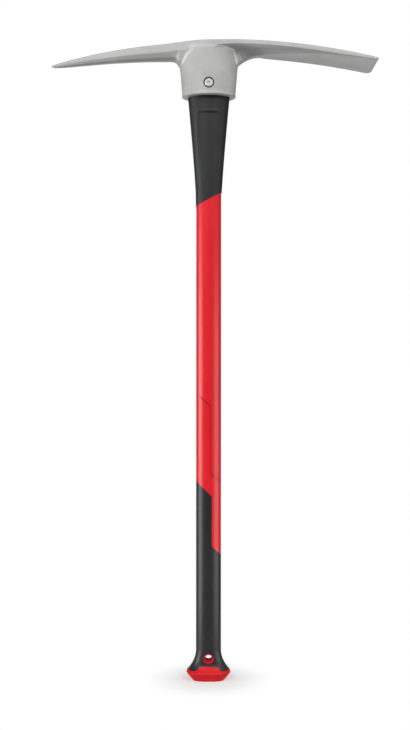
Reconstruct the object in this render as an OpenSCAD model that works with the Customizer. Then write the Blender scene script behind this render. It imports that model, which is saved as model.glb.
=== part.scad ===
// Pick mattock with a fibreglass handle: a forged head with a pick point and an adze blade,
// bonded and bolted to an oval shaft with moulded jackets, sleeve, grip and end cap.
// The butt stands on z = 0, the shaft runs up +Z, the adze points to +X and the front faces -Y.

/* [Overall] */
// Length of the tool, from the butt of the end cap to the crown of the head
overall_l = 914.4; // [820:0.1:1000]

/* [Pick] */
// Reach of the pick point from the shaft's axis
pick_reach = 227; // [190:1:260]
// Radius of the crown's arc over the pick
pick_arc_r = 875; // [700:5:1400]
// Width of the pick where it leaves the socket
pick_root_w = 31; // [26:0.5:34]
// Height of the pick where it leaves the socket
pick_root_h = 22.8; // [20:0.2:26]
// Height of the pick's upright sides near the socket
pick_side_h = 12; // [9:0.5:14]
// Width of the flat under the pick
pick_keel_w = 7; // [4:0.5:10]
// Width and height of the blunt tip
pick_tip = 2.2; // [1.8:0.2:5]
// Fillet between the pick's underside and the socket
pick_fillet = 10; // [7:0.5:14]
// Length over which the pick's sides widen into the socket, from the shaft's axis
pick_blend_l = 68; // [56:1:90]

/* [Adze] */
// Reach of the cutting edge from the shaft's axis
adze_reach = 240; // [205:1:270]
// Radius of the crown's arc over the adze
adze_arc_r = 815; // [600:5:1200]
// Distance from the shaft's axis at which that arc begins
adze_arc_x = 28; // [15:1:40]
// Width of the blade at the socket
adze_root_w = 63; // [62:0.5:68]
// Width of the cutting edge
adze_edge_w = 80; // [72:0.5:92]
// Height of the blade's upright sides near the socket
adze_side_h = 6.6; // [5:0.2:8.6]
// Depth of the blade at the end of the web
adze_root_h = 15.5; // [13:0.5:18]
// Depth of the blade where the ground bevel begins
adze_bevel_h = 4.8; // [4:0.2:6]
// Length of the ground bevel
adze_bevel_l = 8; // [5:0.5:12]
// Thickness of the cutting edge
adze_edge_h = 1.3; // [0.8:0.1:2]
// Radius of the cutting edge's corners, seen from above
adze_corner_r = 5; // [3:0.5:8]
// Drop of the web where it meets the socket
web_drop = 11.5; // [8:0.5:15]
// Length of the web along the blade
web_l = 31; // [26:1:38]
// Width of the flat under the web
web_keel_w = 13; // [10:1:18]
// Spread of that flat on each side, where the web meets the socket
web_spread = 2.5; // [1:0.5:5]

/* [Socket] */
// Height of the socket, from its rim to the crown
socket_h = 76.6; // [70:0.2:88]
// Width of the socket at its rim
socket_w = 76.2; // [73:0.2:80]
// Depth of the socket at its rim
socket_d = 56.4; // [54:0.2:59]
// Width of the socket at the crown
socket_crown_w = 88.5; // [82:0.5:94]
// Depth of the socket at the crown
socket_crown_d = 60.6; // [57:0.2:61.2]
// Wall of the socket
socket_wall = 7.75; // [7:0.25:9.5]
// Chamfer round the rim
rim_chamfer = 2.2; // [0.8:0.2:3.2]
// Depth of the resin and the core below the crown
eye_recess = 3; // [2:0.5:6]

/* [Cross bolt] */
// Height of the cross bolt above the socket's rim
bolt_rise = 16; // [13.6:0.2:20]
// Diameter of the bolt's thread
bolt_d = 6; // [5:0.5:6.5]
// Length of the bolt's thread
thread_l = 36; // [28:0.5:40]
// Diameter of the barrel nut
barrel_d = 10; // [8.5:0.5:10.5]
// Play of the barrel nut in its bore
barrel_play = 0.3; // [0.1:0.1:0.6]
// Diameter of the bolt's and the nut's heads
bolt_head_d = 12.2; // [11.6:0.2:13]
// Height of the bolt's and the nut's heads
bolt_head_h = 2.6; // [2.2:0.1:3]
// Hexagon socket in the heads, across the flats
hex_af = 4; // [3:0.5:5]
// Depth of the hexagon socket
hex_h = 1.8; // [1:0.1:2]
// Diameter of the counterbores in the socket
counterbore_d = 15.4; // [14.6:0.2:16.2]
// Play of the washers in the counterbores
washer_play = 0.4; // [0.2:0.1:0.8]
// Thickness of the washers
washer_t = 1; // [0.8:0.1:1.4]

/* [Shaft] */
// Width of the oval shaft across the front
shaft_w = 36; // [33.5:0.5:40]
// Depth of the oval shaft from front to back
shaft_d = 28; // [26:0.5:30]
// Width of the fibreglass core
core_w = 26; // [23:0.5:27]
// Depth of the fibreglass core
core_d = 18; // [16:0.5:19]
// Slope of the slanted ends of the seam and the grip's edge, in degrees
step_slope = 43.5; // [30:0.5:55]
// Height of the jackets' seam on the pick side
seam_z = 413; // [390:1:480]
// Length of the seam's straight run down the shaft
seam_run = 95; // [60:1:100]
// Distance of that run from the shaft's axis, towards the adze
seam_x = 2.4; // [-6:0.2:8]

/* [Overstrike sleeve] */
// Length of the sleeve below the socket's rim, along the axis
sleeve_l = 147; // [130:0.5:165]
// Length over which the sleeve's flare grows
sleeve_flare_l = 153; // [130:1:200]
// Slope of the sleeve's lower end, in degrees
sleeve_slope = 27.8; // [10:0.1:35]
// Step of the shaft under the sleeve
sleeve_skin = 2.2; // [1.2:0.1:2.6]
// Length of the sleeve inside the socket
sleeve_entry = 5; // [3:0.5:6]
// Clearance between the sleeve and the socket's mouth
sleeve_play = 0.3; // [0.1:0.1:0.8]
// Width of the recessed panels at the front and back
panel_w = 31; // [24:0.5:34]
// Length of the panels
panel_l = 80; // [60:1:95]
// Distance of the panels from the socket's rim
panel_gap = 23; // [18:0.5:32]
// Depth of the panels at their upper ends
panel_depth = 1.2; // [0.8:0.1:1.6]

/* [Grip] */
// Height of the grip's upper edge on the pick side
grip_z = 286.5; // [240:0.5:330]
// Length of the straight run of that edge down the shaft
grip_run = 72; // [50:1:90]
// Distance of that run from the shaft's axis, towards the adze
grip_x = 4.7; // [-6:0.1:8]
// Thickness of the grip
grip_skin = 2.4; // [1.4:0.1:2.6]
// Height of the grip's lower hem above the butt
hem_z = 15.5; // [15:0.5:18]
// Height of the end cap's tongue above the hem
tongue_h = 6.3; // [4:0.1:7]
// Width of the tongue at its top
tongue_w = 24; // [18:0.5:28]
// Slope of the tongue's sides, as width over height
tongue_lean = 0.95; // [0:0.05:1.2]

/* [End cap] */
// Width of the end cap at its widest
cap_w = 63; // [57:0.2:70]
// Depth of the end cap at its widest
cap_d = 45; // [41:0.5:50]
// Height of that widest line above the butt
cap_rim_z = 12; // [10.5:0.25:13]
// Half height of the rounded rim
cap_rim_h = 2.8; // [2:0.1:3]
// Drop of the width over that half height
cap_rim_drop = 0.8; // [0.4:0.1:1.2]
// Width of the flat butt
butt_w = 46.5; // [40:0.5:52]
// Depth of the flat butt
butt_d = 32; // [28:0.5:37]
// Rounding of the butt's edge
butt_edge = 1.2; // [0.6:0.1:2]
// Height at which the flare begins
flare_z = 44; // [41:0.5:47]
// Height at which the end cap ends inside the grip
cap_neck_z = 62; // [56:0.5:70]
// Depth of the core in the end cap
core_seat = 15; // [8:0.5:16]
// Height of the lanyard hole above the butt
lanyard_z = 32.2; // [31.4:0.2:34]
// Diameter of the lanyard hole
lanyard_d = 11.6; // [10:0.1:12]
// Wall of the bush in the lanyard hole
bush_wall = 1.8; // [1.2:0.1:2.2]
// Length of the bush past the shaft's depth, at each end
bush_proud = 0.6; // [0.2:0.1:1]

/* [Hidden] */
$fn = 64;

// Points round an oval
ring_n = 48;
// Steps of the swept curves
pick_steps = 14;
fillet_steps = 6;
crown_steps = 10;
web_steps = 10;
blade_steps = 10;
corner_steps = 6;
flare_steps = 10;
sleeve_steps = 14;

// Exponents of the curves: taper of the pick, flares of the sleeve and the end cap
pick_power = 0.6;
sleeve_power = 1.22;
flare_power_w = 2.1;
flare_power_d = 4.2;
// Squareness of the ovals: 2 is an ellipse
round_oval = 2;
square_oval = 2.9;

// Overlap of cuts past the faces they open
past = 1;
// Edge break along the head's upper edges
crown_break = 1.2;
// Rise of the head's plan over the socket's top
plan_rise = 0.3;
// Growth of the web at its root inside the socket, against 1 at the socket's side
web_root = 1.8;
// Distance of the socket body's top below the crown
socket_cover = 4;
// Share of the depth that the pick's upright side takes near the tip
pick_share = 0.6;
// Share of the depth that the blade's upright side takes near the edge
side_share = 0.85;
// Growth of the flat under the blade, fast at first
blade_power = 0.62;
// Hollow of the web's sides: shares of width and of depth at the middle point
hollow_w = 0.35;
hollow_h = 0.18;
straight = 0.5;
// Least depth of the panels, at their lower ends
panel_fade = 0.15;

// Reach of the zones that cut the handle's pieces apart
zone = 200;

// Heights along the handle
rim_z = overall_l - socket_h;
bolt_z = rim_z + bolt_rise;
eye_top_z = overall_l - eye_recess;
sleeve_top_z = rim_z + sleeve_entry;
sleeve_cut_z = rim_z - sleeve_l;
taper_z = rim_z - sleeve_flare_l;
panel_top_z = rim_z - panel_gap;
panel_end_z = panel_top_z - panel_l;
core_z = cap_neck_z - core_seat;
cap_rim_lo = cap_rim_z - cap_rim_h;
cap_rim_hi = cap_rim_z + cap_rim_h;
bush_d = lanyard_d + 2 * bush_wall;

// Half sizes of the socket at the crown
crown_a = socket_crown_w / 2;
crown_b = socket_crown_d / 2;
// Half sizes of the sleeve where it enters the socket
mouth_a = socket_w / 2 - socket_wall - sleeve_play;
mouth_b = socket_d / 2 - socket_wall - sleeve_play;

// Cross bolt, measured out from the axis
bolt_bore_d = barrel_d + barrel_play;
socket_face = socket_half(bolt_z)[1];
bolt_seat = socket_face - bolt_head_h - washer_t;
barrel_end = bolt_seat - washer_t;

// Signed power, for ovals squarer than an ellipse
function signed_power(value, power) = sign(value) * pow(abs(value), power);

// Points of an oval with half width a and half depth b
function oval(a, b, squareness) = [
    for (i = [0 : ring_n - 1])
        let (angle = 360 * i / ring_n)
        [a * signed_power(cos(angle), 2 / squareness), b * signed_power(sin(angle), 2 / squareness)]
];

// The same points at height z
function oval_at(z, a, b, squareness = round_oval) = [for (p = oval(a, b, squareness)) [p.x, p.y, z]];

// Smooth step from 0 to 1
function smooth_step(share) =
    let (s = min(max(share, 0), 1))
    s * s * (3 - 2 * s);

// Height of a quarter round of radius r that ends at x_end, seen from where it begins
function fillet_rise(x, x_end, r) =
    let (run = min(max(x - (x_end - r), 0), r))
    r - sqrt(r * r - run * run);

// Middle of a ring of points
function middle(ring) = [for (axis = [0 : 2]) ([for (p = ring) 1] * [for (p = ring) p[axis]]) / len(ring)];

// Solid through rings of points, each ring turning left about the direction of travel
module loft(rings) {
    n = len(rings[0]);
    last = len(rings) - 1;
    start_hub = n * len(rings);
    points = concat([for (ring = rings, p = ring) p], [middle(rings[0]), middle(rings[last])]);
    sides = [
        for (i = [0 : last - 1], j = [0 : n - 1])
            let (k = (j + 1) % n, low = i * n, high = low + n)
            each [[low + j, high + j, high + k], [low + j, high + k, low + k]]
    ];
    ends = [
        for (j = [0 : n - 1])
            let (k = (j + 1) % n, top = last * n)
            each [[start_hub, j, k], [start_hub + 1, top + k, top + j]]
    ];
    polyhedron(points = points, faces = concat(sides, ends));
}

// Half width and half depth of the socket at height z
function socket_half(z) =
    let (share = (z - rim_z) / socket_h)
    [
        socket_w / 2 + (crown_a - socket_w / 2) * share,
        socket_d / 2 + (crown_b - socket_d / 2) * share,
    ];

// Oval ring of the socket at height z, drawn in by inset
function socket_ring(z, inset) = oval_at(z, socket_half(z)[0] - inset, socket_half(z)[1] - inset);

// Tapered eye, open at the rim and the crown
module eye_form() {
    loft([for (z = [rim_z - past, overall_l + past]) socket_ring(z, socket_wall)]);
}

// Height of the head's crown at x
function crown(x) =
    x < 0 ? overall_l - pick_arc_r + sqrt(pick_arc_r * pick_arc_r - x * x)
    : x > adze_arc_x ? overall_l - adze_arc_r + sqrt(adze_arc_r * adze_arc_r - pow(x - adze_arc_x, 2))
    : overall_l;

// Growth of the pick from its tip, 0, to the socket, 1
function pick_growth(x) = pow(min((x + pick_reach) / (pick_reach - crown_a), 1), pick_power);
function pick_size(x, root) = pick_tip + (root - pick_tip) * pick_growth(x);

// Half width of the socket's plan at x, just outside its top
function plan_half(x) = abs(x) < crown_a ? crown_b * sqrt(1 - pow(x / crown_a, 2)) + plan_rise : 0;

// Half width of the pick's sides at x, which widen smoothly into the socket
function flank_half(x) =
    let (pick_half = pick_size(x, pick_root_w) / 2)
    pick_half + (crown_b - pick_half) * smooth_step((x + pick_blend_l) / pick_blend_l);

// Height of the upright sides at x, which runs over into the adze's at the shaft's axis
function upright_side(x) =
    pick_side_h + (adze_side_h - pick_side_h) * smooth_step((x + pick_blend_l) / pick_blend_l);

// Place where the fillet under the pick ends, just inside the socket's side
fillet_x = plan_rise - socket_half(overall_l - pick_root_h - pick_fillet)[0];

// Section of the head at x on the pick's side: half width, side, keel's half width and depth
function pick_section(x) =
    let (
        h = pick_size(x, pick_root_h) + fillet_rise(x, fillet_x, pick_fillet),
        side = min(upright_side(x), pick_share * pick_size(x, pick_root_h))
    )
    [max(flank_half(x), plan_half(x)), side, pick_size(x, pick_keel_w) / 2, h, straight, straight];

// Places along the adze
web_x = crown_a + web_l;
bevel_x = adze_reach - adze_bevel_l;
// Share of the way from the web's end to the bevel
function blade_share(x) = min(max((x - web_x) / (bevel_x - web_x), 0), 1);
// Share of the bevel behind x
function bevel_share(x) = max((x - bevel_x) / adze_bevel_l, 0);
// Growth of the web from its end, 0, to the socket's side, 1, and on to its root
function web_growth(x) = min(pow(max((web_x - x) / web_l, 0), 2), web_root);
web_root_x = web_x - web_l * sqrt(web_root);
// Half width that the blade loses to its rounded corners
function corner_loss(x) = fillet_rise(x, adze_reach, adze_corner_r);

// Half width of the blade
function blade_half(x) =
    let (
        root = adze_root_w / 2,
        edge = adze_edge_w / 2,
        share = min(max((x - web_x) / (adze_reach - web_x), 0), 1)
    )
    root + (edge - root) * share * share - corner_loss(x);

// Section of the head at x on the adze's side, in the same terms
function adze_section(x) =
    let (
        share = blade_share(x),
        blade_h = adze_root_h + (adze_bevel_h - adze_root_h) * share,
        h = blade_h + web_drop * web_growth(x) + (adze_edge_h - adze_bevel_h) * bevel_share(x),
        half = max(blade_half(x), plan_half(x)),
        web_half = web_keel_w / 2 + web_spread * web_growth(x),
        keel = min(web_half + (adze_edge_w / 2 - web_half) * pow(share, blade_power), half - h * share / 4),
        bend_w = hollow_w + (straight - hollow_w) * min(share * 2, 1),
        bend_h = hollow_h + (straight - hollow_h) * min(share * 2, 1)
    )
    [half, min(adze_side_h, side_share * h), keel, h, bend_w, bend_h];

// Ring of points round the head at x
function head_ring(x) =
    let (
        s = x < 0 ? pick_section(x) : adze_section(x),
        half = s[0],
        side = s[1],
        keel = s[2],
        h = s[3],
        break = min(crown_break, half / 3, side / 3),
        bend_y = keel + (half - keel) * s[4],
        bend_z = side + (h - side) * s[5],
        flank = [[half - break, 0], [half, -break], [half, -side], [bend_y, -bend_z], [keel, -h]],
        left = [for (p = flank) [-p[0], p[1]]],
        right = [for (i = [len(flank) - 1 : -1 : 0]) flank[i]]
    )
    [for (p = concat(left, right)) [x, p[0], crown(x) + p[1]]];

// Places of the head's sections, from the pick's tip to the cutting edge
pick_straight_x = fillet_x - pick_fillet;
head_x = concat(
    [for (i = [0 : pick_steps]) -pick_reach + (pick_straight_x + pick_reach) * i / pick_steps],
    [for (i = [1 : fillet_steps]) pick_straight_x + pick_fillet * sin(90 * i / fillet_steps)],
    [for (i = [1 : crown_steps]) fillet_x * cos(90 * i / crown_steps)],
    [for (i = [0 : web_steps]) web_root_x + (web_x - web_root_x) * i / web_steps],
    [for (i = [1 : blade_steps]) web_x + (bevel_x - web_x) * i / blade_steps],
    [for (i = [1 : corner_steps]) bevel_x + adze_bevel_l * sin(90 * i / corner_steps)]
);

// Body of the socket below the crown, with its chamfered rim
module socket_body() {
    top_z = overall_l - socket_cover;
    chamfer_z = rim_z + rim_chamfer;
    loft([socket_ring(rim_z, rim_chamfer), socket_ring(chamfer_z, 0), socket_ring(top_z, 0)]);
}

// Cylinder along Y, from y_from to y_to, at height z
module cross_cylinder(z, d, y_from, y_to) {
    translate([0, y_to, z])
        rotate([90, 0, 0])
            cylinder(d = d, h = y_to - y_from);
}

// Forged head with its eye, cross bore and counterbores
module pick_head() {
    color([0.72, 0.72, 0.71])
        difference() {
            union() {
                loft([for (x = head_x) head_ring(x)]);
                socket_body();
            }
            eye_form();
            cross_cylinder(bolt_z, bolt_bore_d, -socket_d, socket_d);
            cross_cylinder(bolt_z, counterbore_d, -socket_d, -bolt_seat);
            cross_cylinder(bolt_z, counterbore_d, bolt_seat, socket_d);
        }
}

// Domed head of the bolt and the nut, with its hexagon socket, standing on z = 0
module bolt_head() {
    edge = bolt_head_h / 3;
    difference() {
        rotate_extrude()
            polygon([
                [0, 0],
                [bolt_head_d / 2, 0],
                [bolt_head_d / 2, bolt_head_h - edge],
                [bolt_head_d / 2 - edge, bolt_head_h],
                [0, bolt_head_h],
            ]);
        translate([0, 0, bolt_head_h - hex_h])
            cylinder(d = hex_af / cos(30), h = hex_h + past, $fn = 6);
    }
}

// Bolt at the front, its head on the front washer and its thread in the barrel nut
module cross_bolt() {
    color([0.8, 0.8, 0.8])
        translate([0, -bolt_seat - washer_t, bolt_z])
            rotate([90, 0, 0]) {
                bolt_head();
                translate([0, 0, -thread_l])
                    cylinder(d = bolt_d, h = thread_l);
            }
}

// Nut at the back, whose barrel runs through the socket, the resin and the core
module barrel_nut() {
    color([0.75, 0.75, 0.75])
        difference() {
            union() {
                translate([0, bolt_seat + washer_t, bolt_z])
                    rotate([-90, 0, 0])
                        bolt_head();
                cross_cylinder(bolt_z, barrel_d, -barrel_end, bolt_seat + washer_t);
            }
            cross_cylinder(bolt_z, bolt_d, -socket_d, thread_l - bolt_seat);
        }
}

// Washers under both heads
module bolt_washers() {
    color([0.15, 0.15, 0.15])
        difference() {
            union() {
                cross_cylinder(bolt_z, counterbore_d - washer_play, -bolt_seat - washer_t, -bolt_seat);
                cross_cylinder(bolt_z, counterbore_d - washer_play, bolt_seat, bolt_seat + washer_t);
            }
            cross_cylinder(bolt_z, bolt_bore_d, -socket_d, socket_d);
        }
}

// Oval of the core between two heights
module core_oval(z_from, z_to) {
    loft([for (z = [z_from, z_to]) oval_at(z, core_w / 2, core_d / 2)]);
}

// Fibreglass core, from its seat in the end cap to the top of the eye
module fibreglass_core() {
    color([0.86, 0.8, 0.62])
        difference() {
            core_oval(core_z, eye_top_z);
            cross_cylinder(bolt_z, bolt_bore_d, -socket_d, socket_d);
        }
}

// Resin between the eye's tapered wall and the core
module eye_bond() {
    color([0.2, 0.2, 0.2])
        difference() {
            intersection() {
                eye_form();
                translate([-zone / 2, -zone / 2, sleeve_top_z])
                    cube([zone, zone, eye_top_z - sleeve_top_z]);
            }
            core_oval(core_z, overall_l + past);
            cross_cylinder(bolt_z, bolt_bore_d, -socket_d, socket_d);
        }
}

// Half size of the end cap at height z, for the width or the depth
function cap_half(z, butt, rim, shaft, power) =
    z < cap_rim_hi
        ? lookup(z, [
            [0, butt - butt_edge],
            [butt_edge, butt],
            [cap_rim_lo, rim - cap_rim_drop],
            [cap_rim_z, rim],
            [cap_rim_hi, rim - cap_rim_drop],
        ])
        : shaft + (rim - cap_rim_drop - shaft) * pow((flare_z - z) / (flare_z - cap_rim_hi), power);

// Growth of the sleeve's flare at height z, from 0 to 1 at the rim
function sleeve_growth(z) = pow(min(max((z - taper_z) / sleeve_flare_l, 0), 1), sleeve_power);

// Outside of the handle at height z: half width, half depth and squareness
function handle_half(z) =
    z < flare_z
        ? [
            cap_half(z, butt_w / 2, cap_w / 2, shaft_w / 2, flare_power_w),
            cap_half(z, butt_d / 2, cap_d / 2, shaft_d / 2, flare_power_d),
            square_oval + (round_oval - square_oval) * max((z - cap_rim_hi) / (flare_z - cap_rim_hi), 0),
        ]
        : [
            shaft_w / 2 + (mouth_a - shaft_w / 2) * sleeve_growth(z),
            shaft_d / 2 + (mouth_b - shaft_d / 2) * sleeve_growth(z),
            round_oval,
        ];

// Heights at which the outside is sampled
handle_z = concat(
    [0, butt_edge, cap_rim_lo, cap_rim_z],
    [for (i = [0 : flare_steps]) cap_rim_hi + (flare_z - cap_rim_hi) * i / flare_steps],
    [for (i = [0 : sleeve_steps]) taper_z + sleeve_flare_l * i / sleeve_steps]
);

// Those heights that lie between two ends, and the ends
function heights_between(z_from, z_to) =
    concat([z_from], [for (z = handle_z) if (z > z_from && z < z_to) z], [z_to]);

// Solid of the handle's outside between two heights, drawn in by inset
module handle_form(z_from, z_to, inset = 0) {
    loft([
        for (z = heights_between(z_from, z_to))
            let (half = handle_half(z))
            oval_at(z, half[0] - inset, half[1] - inset, half[2])
    ]);
}

// Straight oval of the shaft between two heights, drawn in by inset
module shaft_oval(z_from, z_to, inset) {
    loft([for (z = [z_from, z_to]) oval_at(z, shaft_w / 2 - inset, shaft_d / 2 - inset)]);
}

// Outline in the front plane, carried through from front to back
module front_zone() {
    rotate([90, 0, 0])
        linear_extrude(height = zone, center = true)
            children();
}

// Space below a stepped edge: a slant, a straight run down the shaft and a second slant
module below_step(z, run, x) {
    slope = tan(step_slope);
    run_z = z - slope * (x + shaft_w / 2);
    front_zone()
        polygon([
            [-zone, z + slope * (zone - shaft_w / 2)],
            [x, run_z],
            [x, run_z - run],
            [zone, run_z - run - slope * (zone - x)],
            [zone, -zone],
            [-zone, -zone],
        ]);
}

// Space above the sleeve's slanted lower end
module above_sleeve_cut() {
    lift = zone * tan(sleeve_slope);
    front_zone()
        polygon([
            [-zone, sleeve_cut_z - lift],
            [zone, sleeve_cut_z + lift],
            [zone, overall_l + zone],
            [-zone, overall_l + zone],
        ]);
}

// Space below the grip's lower hem, with the end cap's tongue
module below_hem() {
    top = tongue_w / 2;
    foot = top + tongue_lean * tongue_h;
    front_zone()
        polygon([
            [-zone, hem_z],
            [-foot, hem_z],
            [-top, hem_z + tongue_h],
            [top, hem_z + tongue_h],
            [foot, hem_z],
            [zone, hem_z],
            [zone, -zone],
            [-zone, -zone],
        ]);
}

// Space between the grip's stepped upper edge and its lower hem
module grip_zone() {
    difference() {
        below_step(grip_z, grip_run, grip_x);
        below_hem();
    }
}

// Red jacket from the seam up into the sleeve
module upper_jacket() {
    color([0.8, 0.1, 0.12])
        difference() {
            shaft_oval(cap_neck_z, sleeve_top_z, 0);
            below_step(seam_z, seam_run, seam_x);
            difference() {
                above_sleeve_cut();
                shaft_oval(taper_z - zone, sleeve_top_z + past, sleeve_skin);
            }
            core_oval(0, overall_l);
        }
}

// Red jacket below the seam, drawn in under the grip
module lower_jacket() {
    color([0.78, 0.08, 0.1])
        difference() {
            intersection() {
                shaft_oval(cap_neck_z, seam_z + past, 0);
                below_step(seam_z, seam_run, seam_x);
            }
            difference() {
                grip_zone();
                shaft_oval(0, seam_z, grip_skin);
            }
            core_oval(0, overall_l);
        }
}

// Black sleeve that guards the shaft below the head, with a shallow panel at the front and back
module overstrike_sleeve() {
    color([0.12, 0.12, 0.13])
        difference() {
            intersection() {
                handle_form(taper_z - zone / 2, sleeve_top_z);
                above_sleeve_cut();
            }
            difference() {
                panel_window();
                panel_floor();
            }
            shaft_oval(taper_z - zone, sleeve_top_z + past, sleeve_skin);
        }
}

// Opening of both panels, carried through the sleeve
module panel_window() {
    front_zone()
        translate([-panel_w / 2, panel_end_z])
            square([panel_w, panel_l]);
}

// Core of the sleeve between the panels' floors, drawn in most at their upper ends
module panel_floor() {
    loft([
        for (z = heights_between(panel_end_z - past, panel_top_z + past))
            let (
                half = handle_half(z),
                inset = panel_fade + (panel_depth - panel_fade) * (z - panel_end_z) / panel_l
            )
            oval_at(z, half[0] - inset, half[1] - inset)
    ]);
}

// Bore of the lanyard hole's bush
module bush_bore() {
    cross_cylinder(lanyard_z, bush_d, -zone / 2, zone / 2);
}

// Black grip over the lower jacket and the neck of the end cap
module rubber_grip() {
    color([0.12, 0.12, 0.13])
        difference() {
            intersection() {
                handle_form(-past, seam_z);
                grip_zone();
            }
            handle_form(-past, seam_z, grip_skin);
            bush_bore();
        }
}

// Red knob that closes the handle, with the seat of the core and the lanyard hole
module end_cap() {
    color([0.8, 0.1, 0.12])
        difference() {
            handle_form(0, cap_neck_z);
            difference() {
                grip_zone();
                handle_form(-past, cap_neck_z + past, grip_skin);
            }
            core_oval(core_z, overall_l);
            bush_bore();
        }
}

// Red bush that lines the lanyard hole
module lanyard_bush() {
    half = shaft_d / 2 + bush_proud;
    color([0.85, 0.15, 0.15])
        difference() {
            cross_cylinder(lanyard_z, bush_d, -half, half);
            cross_cylinder(lanyard_z, lanyard_d, -half - past, half + past);
        }
}

pick_head();
cross_bolt();
barrel_nut();
bolt_washers();
eye_bond();
fibreglass_core();
upper_jacket();
lower_jacket();
overstrike_sleeve();
rubber_grip();
end_cap();
lanyard_bush();
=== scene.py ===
"""Looks of a pick mattock: forged head, moulded handle, sleeve, grip and end cap in a white studio."""

import logging
import math
from dataclasses import dataclass
from enum import Enum
from typing import Sequence

import bpy
import numpy as np
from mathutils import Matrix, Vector
from mathutils.bvhtree import BVHTree


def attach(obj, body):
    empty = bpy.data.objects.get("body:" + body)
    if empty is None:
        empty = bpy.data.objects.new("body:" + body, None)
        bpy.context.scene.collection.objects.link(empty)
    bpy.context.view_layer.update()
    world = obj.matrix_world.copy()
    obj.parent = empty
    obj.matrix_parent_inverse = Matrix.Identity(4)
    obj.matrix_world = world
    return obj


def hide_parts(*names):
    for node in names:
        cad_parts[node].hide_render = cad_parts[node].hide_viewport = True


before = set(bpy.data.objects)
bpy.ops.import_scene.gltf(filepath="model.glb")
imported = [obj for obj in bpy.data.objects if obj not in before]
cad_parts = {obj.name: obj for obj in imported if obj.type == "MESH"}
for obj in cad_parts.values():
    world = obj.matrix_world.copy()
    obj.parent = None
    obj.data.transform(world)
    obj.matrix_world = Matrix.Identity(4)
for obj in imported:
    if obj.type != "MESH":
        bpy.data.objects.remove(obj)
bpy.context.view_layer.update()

LOG = logging.getLogger("pick_mattock")
MM = 0.001
BODY = "root"
# Point attributes that place a painted highlight along the head's fillets and painted shade in the seam's
# groove
FILLET_HIGHLIGHT_MARK = "fillet"
SEAM_SHADE_MARK = "seam"

# Squareness of a plain oval
OVAL = 2.0
# Points round a ring, more where it is seen large
ROD_SIDES = 64
SHAFT_SIDES = 96
EYE_SIDES = 128
SLEEVE_SIDES = 160
SOCKET_SIDES = 192
# Points of one section of the head's arms
SECTION_POINTS = 10
# Angle in degrees past which an edge is rounded
SHARP_ANGLE = 48.0
# Weight of the large faces in smooth shading
FACE_WEIGHT = 80
# Places of the colour sockets on a Mix node
MIX_FACTOR, MIX_FIRST, MIX_SECOND, MIX_RESULT = 0, 6, 7, 2

Piece = bpy.types.Object
Material = bpy.types.Material
Node = bpy.types.Node
Socket = bpy.types.NodeSocket
Outline = Sequence[tuple[float, float]]
Ring = tuple[float, float, float, float]
Colour = tuple[float, float, float]
Place = tuple[float, float, float]


class Cut(Enum):
    """Ways in which one solid acts on another."""

    KEEP_COMMON = "INTERSECT"
    TAKE_AWAY = "DIFFERENCE"


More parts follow.
